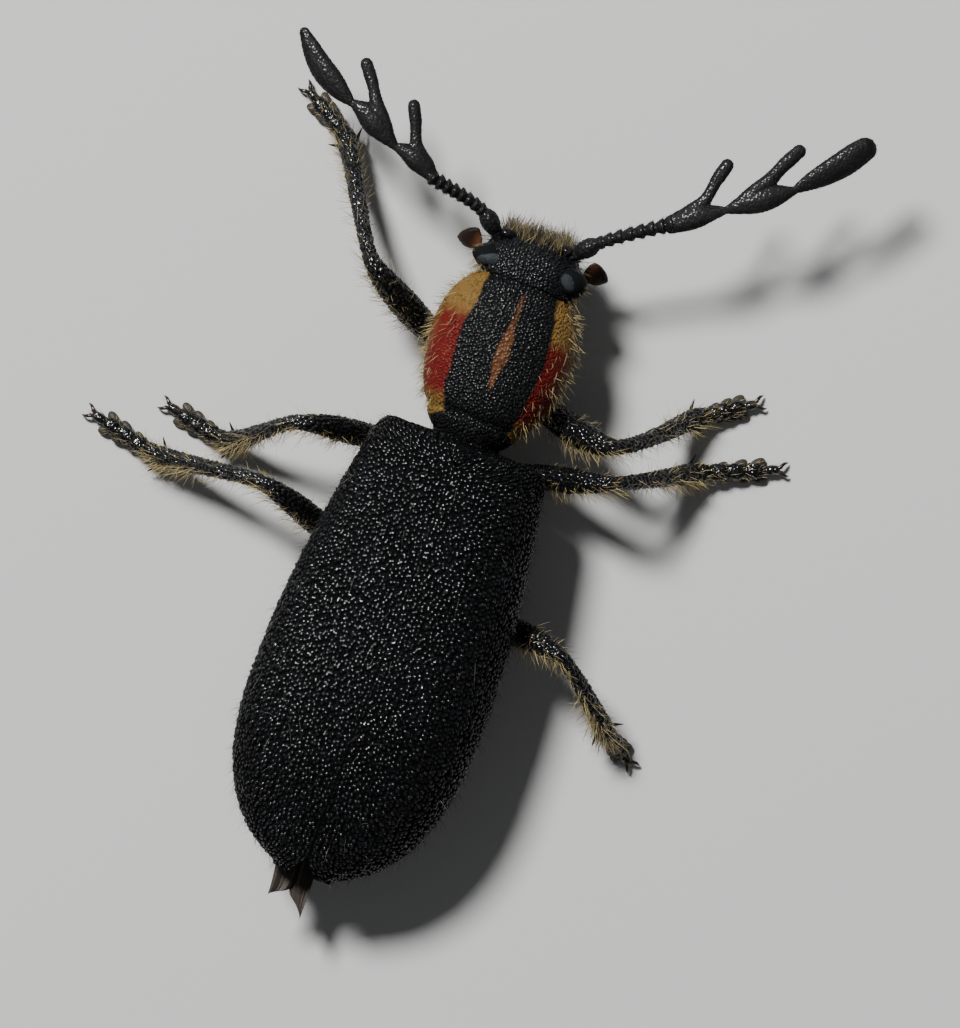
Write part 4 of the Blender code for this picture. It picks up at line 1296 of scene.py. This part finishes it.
class BEETLE_OT_jaws_and_palps(bpy.types.Operator):
    """Builds the jaws, the hatchet-shaped cheek palps and the short lip palps"""

    bl_idname = "beetle.jaws_and_palps"
    bl_label = "Jaws and palps"

    def execute(self, context):
        for side, word in SIDES:
            def at(x, y, z):
                return turned((side * x, y, z))

            jaw = through((at(0.42, 3.60, 1.20), at(0.43, 3.72, 0.86), at(0.34, 3.80, 0.62),
                           at(0.14, 3.88, 0.53), at(-0.02, 3.93, 0.52)), 40)
            form = Form()
            radii = through((0.17, 0.19, 0.17, 0.13, 0.03), 40)
            form.add(grained(sweep(jaw, radii, 30, up=(0, 1, 0), flat=0.8), 0.07, 0.006, 6))
            tooth = through((at(0.26, 3.84, 0.60), at(0.14, 3.90, 0.46), at(0.08, 3.94, 0.44)), 10)
            form.add(sweep(tooth, through((0.09, 0.06, 0.02), 10), 16, up=(0, 1, 0)))
            form.piece("jaw_" + word, [LOOKS["claw"]], ["mandible_" + word], "black_shell")

            form = Form()
            route = through((at(0.70, 3.36, 1.14), at(0.84, 3.40, 1.04), at(0.92, 3.48, 1.06),
                             at(0.99, 3.56, 1.12)), 48)
            radii = through((0.08, 0.085, 0.060, 0.085, 0.055, 0.085, 0.055, 0.06), 48)
            form.add(grained(sweep(route, radii, 24), 0.05, 0.004, 3), 1)
            blade = through((at(0.98, 3.54, 1.12), at(1.06, 3.62, 1.17), at(1.20, 3.76, 1.22)), 30)
            wide = through((0.045, 0.095, 0.150, 0.195, 0.225, 0.235), 30)
            hatchet = sweep(blade, wide, 40, up=(0.3 * side, -0.5, 1.0), flat=0.26, ends=(1.0, 0.40))
            form.add(grained(hatchet, 0.05, 0.008, 4))
            looks = [LOOKS["palp"], LOOKS["palp_stem"]]
            form.piece("cheek_palp_" + word, looks, ["maxillary_palp_" + word], "palp")

            form = Form()
            route = through((at(0.17, 3.36, 1.20), at(0.18, 3.38, 0.92), at(0.20, 3.40, 0.74)), 30)
            radii = through((0.08, 0.09, 0.065, 0.09, 0.07), 30)
            form.add(sweep(route, radii, 20, up=(0, 1, 0)))
            blade = through((at(0.20, 3.39, 0.78), at(0.22, 3.42, 0.68), at(0.26, 3.46, 0.58)), 16)
            wide = through((0.06, 0.12, 0.15, 0.07), 16)
            form.add(sweep(blade, wide, 24, up=(0, 1, 0), flat=0.5))
            form.piece("lip_palp_" + word, [LOOKS["palp"]], ["labial_palp_" + word], "palp")
        return {"FINISHED"}


class BEETLE_OT_antennae(bpy.types.Operator):
    """Builds the antennae: curved base, toothed beads and a fingered club"""

    bl_idname = "beetle.antennae"
    bl_label = "Antennae"

    def execute(self, context):
        for _, word in SIDES:
            shape = ANTENNAE[word]
            base = "antenna_" + word
            root, elbow = np.array(shape["root"]), np.array(shape["elbow"])
            joints = [np.array(joint) for joint in shape["joints"]]
            first = between(elbow, joints[0], joints[1])
            turn = between(root, elbow, joints[0])
            front = unit(np.subtract(shape["fingers"][0], joints[0]) * (1.0, 1.0, 0.0))

            line = bend(root, elbow + 0.03 * turn, way(root, elbow), turn, 60, 0.2, 0.2)
            radii = through((0.09, 0.11, 0.150, 0.165, 0.150, 0.10), 60)
            grid = grained(sweep(line, radii, 60), 0.075, 0.014, 21, middle=30)
            single(base + "_stem", grid, LOOKS["feeler"], base + "_scape", "antenna")

            line = bend(elbow - 0.02 * turn, joints[0] + 0.03 * first, turn, first, 150, 0.4, 0.4)
            place = np.linspace(0.0, 7.999, 150)
            within = np.modf(place)[0]
            tooth = smooth(within / 0.70) * (1.0 - smooth((within - 0.76) / 0.24))
            radii = lerp(0.088, 0.112 + 0.003 * place, tooth)
            grid = sweep(line, radii, 40)
            ahead = np.maximum(0.0, (outward(grid) * front).sum(axis=2, keepdims=True)) ** 2
            teeth = np.concatenate([np.zeros(6), tooth, np.zeros(6)])[:, None, None]
            grid = grid + front * ahead * teeth * 0.035
            beads = grained(grid, 0.06, 0.007, 22, middle=20)
            single(base + "_beads", beads, LOOKS["feeler"], base + "_funicle", "antenna")
            PARTS[base + "_beads"] = grid

            for number in range(3):
                start, end = joints[number], joints[number + 1]
                along = way(start, end)
                length = np.linalg.norm(end - start)
                ahead = unit(front - along * (front @ along))
                plane = np.cross(along, ahead)

                def at(a, f):
                    return start + along * a * length + ahead * f

                body, finger = CLUBS[word][number]
                offsets, widths = zip(*body)
                reach = np.linspace(-0.02, 1.02 if finger else 0.93, len(body))
                line = through([at(a, f) for a, f in zip(reach, offsets)], 80)
                grids = [sweep(line, through(widths, 80), 44, up=plane, flat=0.55)]
                if finger:
                    tip = np.array(shape["fingers"][number])
                    knots = [at(a, f) for a, f in ((0.08, 0.01), (0.40, 0.13), (0.70, 0.28))]
                    tip = tip - finger[-1] * way(knots[-1], tip)
                    route = through((*knots, 0.5 * (knots[-1] + tip) + 0.02 * ahead, tip), 70)
                    grids.append(sweep(route, through(finger, 70), 40, up=plane, flat=0.66))
                points, quads, tris = fused(grids, 0.016)
                form = Form()
                skin, tips = grained_skin(points, quads, 0.052, 0.009, 50 + number)
                form.add_faces(skin, quads, tris, 0, tips)
                name = base + "_club_" + str(number + 1)
                form.piece(name + "_leaf", [LOOKS["feeler"]], [name], "antenna")
                PARTS[name] = (points, quads, start, end)
        return {"FINISHED"}


class BEETLE_OT_trunk(bpy.types.Operator):
    """Builds the thorax and the belly with its overlapping plates"""

    bl_idname = "beetle.trunk"
    bl_label = "Thorax and abdomen"

    def execute(self, context):
        columns = TRUNK_COLUMNS
        rings = []
        for y in np.linspace(ELYTRA_BASE_Y, HIND_TRUNK_Y - 0.06, THORAX_ROWS):
            share = (ELYTRA_BASE_Y - y) / (ELYTRA_BASE_Y - HIND_TRUNK_Y)
            bottom = BELLY_Z + 0.10 * (1.0 - float(smooth(share / 0.3)))
            rings.append(trunk_ring(y, bottom, BELLY_INSET, columns))
        plain = np.array(rings)
        x, y, _ = np.moveaxis(plain, -1, 0)
        groove = 0.035 * np.exp(-(x / 0.022) ** 2) * smooth((-0.5 - y) / 0.3)
        for turn, edge in ((0.06, 1.18), (-0.10, 1.42)):
            groove = groove + 0.030 * np.exp(-((np.abs(x) - edge - turn * y) / 0.022) ** 2)
        groove = groove + 0.035 * np.exp(-((y + 0.72 + 0.10 * np.abs(x)) / 0.025) ** 2)
        mask = belly_mask(plain)
        cut = plain - outward(plain) * (groove * mask)[..., None]
        grid = rounded(grained(cut, 0.11, 0.014, 31, middle=columns // 2, mask=mask), 0.04, 0.0)
        single("thorax_plates", grid, LOOKS["belly"], "pterothorax", "underside")
        PARTS["thorax"] = plain[:, :columns]

        rings = []
        for share in np.linspace(0.0, 1.0, BELLY_ROWS):
            y = lerp(HIND_TRUNK_Y - 0.04, ABDOMEN_TIP_Y, share)
            plate = share * VENTRITES
            within = plate - math.floor(min(plate, VENTRITES - 0.001))
            step = 0.07 * (1.0 - within) * float(smooth(within / 0.06))
            bottom = BELLY_Z + 0.20 * float(smooth((share - 0.35) / 0.65)) + step
            rings.append(trunk_ring(y, bottom, BELLY_INSET + step, columns))
        plain = np.array(rings)
        mask = belly_mask(plain)
        grid = rounded(grained(plain, 0.10, 0.012, 33, middle=columns // 2, mask=mask), 0.0, 0.16)
        single("belly_plates", grid, LOOKS["belly"], "abdomen", "underside")
        PARTS["abdomen"] = plain[:, :columns]
        return {"FINISHED"}


class BEETLE_OT_wing_tips(bpy.types.Operator):
    """Builds the folded tips of the hind wings"""

    bl_idname = "beetle.wing_tips"
    bl_label = "Wing tips"

    def execute(self, context):
        # For each side: its outer edge's start, its tip, its half width at root and tip, how blunt
        # it ends, the slant of its end and its level
        for side, word, edge, tip, halves, blunt, slant, level in (
                (-1, "left", -0.57, (-0.44, -8.42), (0.24, 0.175), (12.0, 2.2), 0.06, 1.49),
                (1, "right", 0.21, (0.24, -8.65), (0.21, 0.19), (7.0, 1.6), 0.12, 1.41)):
            rings = []
            for share in np.linspace(0.0, 1.0, 110):
                half = float(lerp(*halves, share) * lerp(0.05, 1.0, dome(share, *blunt)))
                middle = lerp(edge, tip[0], float(smooth(share))) - side * half
                u = np.concatenate([np.linspace(-1, 1, 40), np.linspace(1, -1, 40)])
                y = lerp(ABDOMEN_TIP_Y + 0.15, tip[1], share) + slant * (1.0 - side * u) * share**3
                fold = 0.045 * np.sin(5.0 * u + 1.3 * side) * (1.0 - 0.4 * share) + 0.10 * (u * side * 0.5)
                vein = sum(0.016 * np.exp(-((u - at - 0.25 * share * at) / 0.07) ** 2)
                           for at in (-0.62, -0.05, 0.50))
                upper = np.where(np.arange(80) < 40, 1.0, -1.0)
                thick = (0.020 * (1.0 - np.abs(u) ** 6) + 0.004 + vein) * upper
                z = level - 0.05 * share + fold * half / 0.27 + thick
                rings.append(np.stack([middle + half * u, y, z], axis=1))
            single("wing_tip_" + word, np.array(rings), LOOKS["wing"], "hindwing_tip_" + word,
                   "wing_membrane")
        return {"FINISHED"}


class BEETLE_OT_legs(bpy.types.Operator):
    """Builds the six legs: hip, thigh, shin with spurs, and foot with soft lobes and claws"""

    bl_idname = "beetle.legs"
    bl_label = "Legs"

    def execute(self, context):
        shell = context.scene.beetle_shell
        spacing, depth = mm(shell.leg_grain), mm(shell.leg_relief)
        for seed, (name, (pair, hip, knee, ankle, toe)) in enumerate(LEGS.items()):
            hip, knee = np.array((*hip, COXA_Z)), np.array(knee)
            ankle, toe = np.array(ankle), np.array((*toe, TOE_Z))
            out = way(hip, (knee[0], knee[1], COXA_Z))
            fold, step = between(hip + COXA_CUT[pair] * out, knee, ankle), between(knee, ankle, toe)

            ball = ellipsoid(hip + (0.0, 0.0, 0.05), COXA_HALF[pair], 40, 64, axis=0)
            ball = grained(ball, spacing, depth, seed)
            single(name + "_hip", ball, LOOKS["belly"], name + "_coxa", "underside")

            start = hip + (COXA_CUT[pair] - 0.02) * out
            start[2] = FEMUR_Z
            line = bend(start, knee + 0.02 * fold, out, fold, 190, 0.9, 0.5)
            share = np.linspace(0, 1, 190)
            radii = profile(THIGH_RADII, share) * LEG_SHARE[pair]
            radii = radii - 0.04 * np.exp(-((share - 0.10) / 0.025) ** 2)
            grid = sweep(line, radii, 88)
            thigh = grained(grid, spacing, depth, seed + 40, middle=44, stretch=1.25, tip=0.46)
            single(name + "_thigh", thigh, LOOKS["leg"], name + "_femur", "leg")
            PARTS[name + "_thigh"] = grid

            line = bend(knee - 0.02 * fold, ankle + 0.02 * step, fold, step, 150, 0.45, 0.35)
            share = np.linspace(0, 1, 150)
            radii = profile(SHIN_RADII, share)
            grid = sweep(line, radii, 60)
            angle = 2 * math.pi * np.arange(60) / 60
            ridges = 0.008 * np.cos(4 * angle)[None, :, None] * np.ones((len(grid), 1, 1))
            grid = grid + outward(grid) * ridges
            form = Form()
            form.add(grained(grid, spacing * 0.9, depth, seed + 60, middle=30, stretch=1.4, tip=0.50))
            aside = unit(np.cross(step, (0.0, 0.0, 1.0)))
            for side in (-1, 1):
                root = ankle - 0.14 * step + 0.12 * side * aside - (0, 0, 0.06)
                tip = root + 0.30 * (0.62 * step + 0.70 * side * aside - np.array((0.0, 0.0, 0.35)))
                spur = through((root, 0.5 * (root + tip) + (0, 0, 0.015), tip), 12)
                form.add(sweep(spur, np.linspace(0.045, 0.008, 12), 10))
            form.piece(name + "_shin", [LOOKS["leg"]], [name + "_tibia"], "leg")
            PARTS[name + "_shin"] = grid

            self.foot(name, ankle, toe, step, spacing, depth, seed)
        return {"FINISHED"}

    def foot(self, name, start, toe, step, spacing, depth, seed):
        """A foot of four lobed segments and a slender one with two claws."""
        flat = way((start[0], start[1], toe[2]), toe)
        aside = np.cross(flat, (0.0, 0.0, 1.0))
        route = bend(start - 0.03 * step, toe, step, flat, FOOT_STEPS, 0.25, 0.25)
        form = Form()
        skins = []
        for number in range(4):
            low = int(FOOT_STEPS * number / FOOT_LENGTH)
            high = int(FOOT_STEPS * (number + 1.12) / FOOT_LENGTH)
            line = even(route[max(0, low - 4):high], 30)
            radii = through((0.085, 0.110, 0.140, 0.160, 0.145), 30) * (1.0 - 0.03 * number)
            grid = sweep(line, radii, 44, flat=0.85)
            form.add(grained(grid, spacing * 0.8, depth * 0.7, seed + number, middle=22, tip=0.50), 0)
            skins.append(grid)
            end, along = line[-1], way(line[-3], line[-1])
            plump = PAD_PLUMP[number]
            for side in (-1, 1):
                lie = unit(along + 0.50 * side * aside)
                square = unit(np.cross((0.0, 0.0, 1.0), lie))
                turn = np.stack([lie, square, np.cross(lie, square)])
                ball = ellipsoid((0, 0, 0), np.array(PAD_HALF) * plump, 18, 24, axis=0) @ turn
                pad = ball + end + 0.105 * plump * side * aside - 0.01 * along - (0, 0, 0.085)
                pad[..., 2] = np.maximum(pad[..., 2], 0.004)
                form.add(pad, 1)
        line = even(route[int(FOOT_STEPS * 3.85 / FOOT_LENGTH):], 40)
        radii = through((0.060, 0.066, 0.072, 0.082, 0.090, 0.082), 40)
        grid = sweep(line, radii, 26)
        form.add(grained(grid, spacing, depth * 0.3, seed + 9, middle=13, tip=0.60), 0)
        skins.append(grid)
        claws(form, toe + 0.03 * flat, flat, aside, 2)
        form.piece(name + "_foot", [LOOKS["leg"], LOOKS["lobe"], LOOKS["claw"]], [name + "_tarsus"], "foot")
        PARTS[name + "_foot"] = skins


class BEETLE_OT_body_hair(bpy.types.Operator):
    """Grows the golden fringes of the neck shield and face and the short hair of the back"""

    bl_idname = "beetle.body_hair"
    bl_label = "Body hair"

    def execute(self, context):
        coat = context.scene.beetle_coat
        thick = mm(coat.thickness)
        back = (0.0, -1.0, 0.0)
        shield = Skin.of_grid(PARTS["neck_shield"], (0.02, 0.02, 0.96, 0.96))
        x, y, z = shield.centres.T
        edge = np.exp(-((z - 1.85) / 0.42) ** 2) * smooth((np.abs(x) - 0.60) / 0.3) * smooth((y - 0.45) / 0.3)
        golden = Coat(101)
        golden.grow(shield, hairs(coat, "shield_fringe"), mm(coat.fringe), 0.75, thick * 0.75, edge,
                    lie=(0.0, -1.0, -0.1), curl=0.22)
        flank = (z > 1.9) * smooth((np.abs(x) - 0.72) / 0.2)
        golden.grow(shield, hairs(coat, "shield_flank"), 0.08, 0.40, thick * 0.45, flank, lie=back)
        under = (z < 1.7) * 1.0
        golden.grow(shield, hairs(coat, "shield_under"), 0.18, 0.40, thick * 0.8, under, lie=back)
        golden.piece("shield_fringe", LOOKS["gold"])
        pile = Coat(102)
        top = (z > 2.0) * (1.0 - smooth((np.abs(x) - 0.75) / 0.2))
        pile.grow(shield, hairs(coat, "shield_pile"), 0.10, 0.35, thick * 0.45, top, lie=back)
        pile.piece("shield_pile", LOOKS["dusk"])

        head = Skin.of_grid(PARTS["head"], (0.02, 0.02, 0.46, 0.96))
        x, y, z = head.centres.T
        face = Coat(103)
        front = smooth((y - 3.78) / 0.22) * (z > 1.2) * (1.0 - 0.8 * smooth((z - 2.05) / 0.3))
        face.grow(head, hairs(coat, "face"), mm(coat.face), 0.50, thick * 0.75, front + 0.001,
                  lie=(0.0, 0.8, -0.2), curl=0.15)
        cheek = (z < 2.0) * smooth((np.abs(x) - 0.5) / 0.2) + 0.3 * (z < 1.4)
        face.grow(head, hairs(coat, "cheek"), mm(coat.face) * 0.9, 0.70, thick * 0.8, cheek,
                  lie=(0.0, -0.5, -0.2))
        temple = smooth((np.abs(x) - 0.66) / 0.1) * smooth((3.62 - y) / 0.1)
        temple = temple * np.exp(-((z - 1.85) / 0.35) ** 2)
        golden = Coat(104)
        golden.grow(head, hairs(coat, "temple"), mm(coat.face), 0.80, thick * 0.8, temple, lie=back)
        golden.piece("temple_hair", LOOKS["gold"])
        crown = (z > 2.0) * 1.0
        pile.grow(head, hairs(coat, "crown"), 0.09, 0.40, thick * 0.45, crown, lie=(0.0, 1.0, 0.0))
        lip = Skin.of_grid(PARTS["lip"], (0.52, 0.02, 0.46, 0.96))
        face.grow(lip, hairs(coat, "lip"), mm(coat.face) * 0.8, 0.55, thick * 0.8, lie=(0.0, 0.3, -1.0))
        face.piece("face_hair", LOOKS["face"])

        for side, word in SIDES:
            case = Skin.of_grid(PARTS["wing_case_" + word], (0.02, 0.02, 0.96, 0.96))
            edge = np.exp(-((case.centres[:, 2] - 1.95) / 0.22) ** 2)
            short = Coat(110 + side)
            short.grow(case, hairs(coat, "case_pile"), mm(coat.pile), 0.36, thick * 0.36, lie=back)
            short.grow(case, hairs(coat, "case_edge"), mm(coat.pile) * 1.5, 0.66, thick * 0.42, edge,
                       lie=(0.0, -1.0, -0.15))
            short.piece("case_hair_" + word, LOOKS["dusk"])
            stray = Coat(115 + side)
            stray.grow(case, hairs(coat, "case_stray"), 0.22, 0.20, thick * 0.45, lie=back, curl=0.6,
                       stray=0.6)
            stray.piece("case_strays_" + word, LOOKS["pale"])
        belly = Coat(120)
        for key, patch in (("thorax", (0.02, 0.02, 0.46, 0.96)), ("abdomen", (0.52, 0.02, 0.46, 0.96))):
            skin = Skin.of_grid(PARTS[key], patch)
            belly.grow(skin, hairs(coat, "belly"), 0.17, 0.35, thick * 0.75, lie=(0.0, -1.0, -0.1))
        belly.piece("belly_hair", LOOKS["gold"])
        return {"FINISHED"}


class BEETLE_OT_limb_hair(bpy.types.Operator):
    """Grows the golden hair of the legs and the short pile of the antennae"""

    bl_idname = "beetle.limb_hair"
    bl_label = "Leg and antenna hair"

    def execute(self, context):
        coat = context.scene.beetle_coat
        thick, length = mm(coat.thickness), mm(coat.limb)
        back = unit(np.array((0.0, -1.0, -0.5)))
        pile = Coat(220)
        for seed, name in enumerate(LEGS):
            hair = Coat(200 + seed)
            column = 0.01 + seed * 0.165
            for row, limb in enumerate(("thigh", "shin")):
                grid = PARTS[name + "_" + limb]
                fringe = limb + "_fringe"
                skin = Skin.of_grid(grid, (0.02 + 0.33 * row, 0.02, 0.29, 0.96))
                rear = smooth(0.5 + skin.normals @ back) ** 2
                far = 0.30 + 0.70 * smooth((skin.unwrap[:, 1] - 0.3) / 0.6)
                hair.grow(skin, hairs(coat, fringe), length, 0.66, thick * 0.70, rear * far, curl=0.28)
                hair.grow(skin, hairs(coat, fringe, 0.4), length * 0.7, 0.6, thick * 0.7, far, curl=0.28)
                skin = Skin.of_grid(grid, (column, 0.01 + 0.33 * row, 0.15, 0.31))
                pile.grow(skin, hairs(coat, limb + "_pile"), length * 0.36, 0.36, thick * 0.5, curl=0.3)
            for number, grid in enumerate(PARTS[name + "_foot"]):
                skin = Skin.of_grid(grid, (0.68, 0.02 + 0.19 * number, 0.3, 0.17))
                count = hairs(coat, "segment" if number < 4 else "claw_segment")
                hair.grow(skin, count, 0.13, 0.40, thick * 0.6)
            hair.piece(name + "_fringe", LOOKS["gold"])
        pile.piece("leg_pile", LOOKS["dusk"])
        for side, word in SIDES:
            fuzz = Coat(300 + side)
            base = "antenna_" + word
            skin = Skin.of_grid(PARTS[base + "_beads"], (0.02, 0.02, 0.2, 0.96))
            fuzz.grow(skin, hairs(coat, "beads"), 0.06, 0.4, thick * 0.5)
            for number in range(3):
                points, quads, start, end = PARTS[base + "_club_" + str(number + 1)]
                skin = Skin.of_quads(points, quads, start, end, (0.26 + 0.24 * number, 0.02, 0.22, 0.96))
                fuzz.grow(skin, hairs(coat, "leaf"), 0.040, 0.35, thick * 0.40)
            fuzz.piece(base + "_fuzz", LOOKS["dusk"])
        return {"FINISHED"}


class BEETLE_OT_stage(bpy.types.Operator):
    """Sets the pale floor, the soft lights and the camera straight above the beetle"""

    bl_idname = "beetle.stage"
    bl_label = "Floor, lights and camera"

    TURN = math.radians(20.7)  # from the beetle's axis to the picture's upright
    AIM = (0.69, -0.86, 1.80)  # the middle of the picture on the drawing, in millimetres
    DISTANCE = 0.20
    HIGH_IN_VIEW = 0.0180  # what the picture's longer side takes in at that distance
    FLOOR_REACH = 0.6
    KEY_WIDTH, FILL_WIDTH = 0.045, 0.16
    KEY_WAY = (-0.42, 0.62)  # to the picture's right and up
    KEY_OUT, KEY_UP = 0.12, 0.17
    FILL_PLACE = (0.05, -0.06, 0.24)  # from the aim
    SKY = (0.92, 0.95, 1.0, 1.0)

    def lamp(self, context, name, aim, place, width, power):
        light = bpy.data.lights.new(name, "AREA")
        light.shape = "DISK"
        light.size = width
        light.energy = power
        obj = bpy.data.objects.new(name, light)
        context.scene.collection.objects.link(obj)
        obj.location = place
        obj.rotation_mode = "QUATERNION"
        obj.rotation_quaternion = (Vector(aim) - Vector(place)).to_track_quat("-Z", "Y")

    def execute(self, context):
        stage = context.scene.beetle_stage
        mesh = bpy.data.meshes.new("floor")
        reach = self.FLOOR_REACH
        mesh.from_pydata([(-reach, -reach, 0), (reach, -reach, 0), (reach, reach, 0), (-reach, reach, 0)],
                         [], [(0, 1, 2, 3)])
        floor = bpy.data.objects.new("floor", mesh)
        context.scene.collection.objects.link(floor)
        look = Look("floor_card", tuple(stage.floor), 0.85, Specular_IOR_Level=0.25)
        mesh.materials.append(look.material)

        right = Vector((math.cos(self.TURN), math.sin(self.TURN), 0.0))
        up = Vector((-math.sin(self.TURN), math.cos(self.TURN), 0.0))
        aim = Vector(np.array(self.AIM) * MM + ROW)
        aside = (right * self.KEY_WAY[0] + up * self.KEY_WAY[1]).normalized()
        key = aim + aside * self.KEY_OUT + Vector((0, 0, self.KEY_UP))
        self.lamp(context, "key_light", aim, key, self.KEY_WIDTH, stage.key)
        self.lamp(context, "fill_light", aim, aim + Vector(self.FILL_PLACE), self.FILL_WIDTH, stage.fill)
        world = bpy.data.worlds.new("room")
        world.use_nodes = True
        sky = world.node_tree.nodes["Background"]
        sky.inputs["Color"].default_value = self.SKY
        sky.inputs["Strength"].default_value = stage.sky
        context.scene.world = world

        lens = bpy.data.cameras.new("camera")
        lens.sensor_width = 36.0
        lens.lens = lens.sensor_width * self.DISTANCE / self.HIGH_IN_VIEW
        lens.clip_start, lens.clip_end = 0.01, 2.0
        camera = bpy.data.objects.new("camera", lens)
        context.scene.collection.objects.link(camera)
        turn = Matrix((right, up, right.cross(up))).transposed().to_4x4()
        camera.matrix_world = Matrix.Translation(aim + Vector((0, 0, self.DISTANCE))) @ turn
        context.scene.camera = camera
        return {"FINISHED"}


class BEETLE_PT_panel(bpy.types.Panel):
    """Lists the beetle's pieces and settings"""

    bl_idname = "BEETLE_PT_panel"
    bl_label = "Checkered beetle"
    bl_space_type = "VIEW_3D"
    bl_region_type = "UI"
    bl_category = "Beetle"

    def draw(self, context):
        layout = self.layout
        for name in GROUPS:
            group = getattr(context.scene, name)
            box = layout.box()
            for key in group.bl_rna.properties.keys():
                if key not in ("rna_type", "name"):
                    box.prop(group, key)
        for operator in OPERATORS:
            layout.operator(operator.bl_idname)


GROUPS = {"beetle_shell": BeetleShell, "beetle_coat": BeetleCoat, "beetle_colours": BeetleColours,
          "beetle_stage": BeetleStage}
OPERATORS = (BEETLE_OT_looks, BEETLE_OT_wing_cases, BEETLE_OT_scutellum, BEETLE_OT_neck_shield,
             BEETLE_OT_head, BEETLE_OT_eyes, BEETLE_OT_lip, BEETLE_OT_jaws_and_palps, BEETLE_OT_antennae,
             BEETLE_OT_trunk, BEETLE_OT_wing_tips, BEETLE_OT_legs, BEETLE_OT_body_hair,
             BEETLE_OT_limb_hair, BEETLE_OT_stage)


def register():
    for name, group in GROUPS.items():
        bpy.utils.register_class(group)
        setattr(bpy.types.Scene, name, bpy.props.PointerProperty(type=group))
    for made in (*OPERATORS, BEETLE_PT_panel):
        bpy.utils.register_class(made)


def unregister():
    for made in (BEETLE_PT_panel, *reversed(OPERATORS)):
        bpy.utils.unregister_class(made)
    for name, group in GROUPS.items():
        delattr(bpy.types.Scene, name)
        bpy.utils.unregister_class(group)


def main():
    register()
    bpy.ops.beetle.looks()
    bpy.ops.beetle.wing_cases()
    bpy.ops.beetle.scutellum()
    bpy.ops.beetle.neck_shield()
    bpy.ops.beetle.head()
    bpy.ops.beetle.eyes()
    bpy.ops.beetle.lip()
    bpy.ops.beetle.jaws_and_palps()
    bpy.ops.beetle.antennae()
    bpy.ops.beetle.trunk()
    bpy.ops.beetle.wing_tips()
    bpy.ops.beetle.legs()
    bpy.ops.beetle.body_hair()
    bpy.ops.beetle.limb_hair()
    bpy.ops.beetle.stage()


if __name__ == "__main__":
    main()
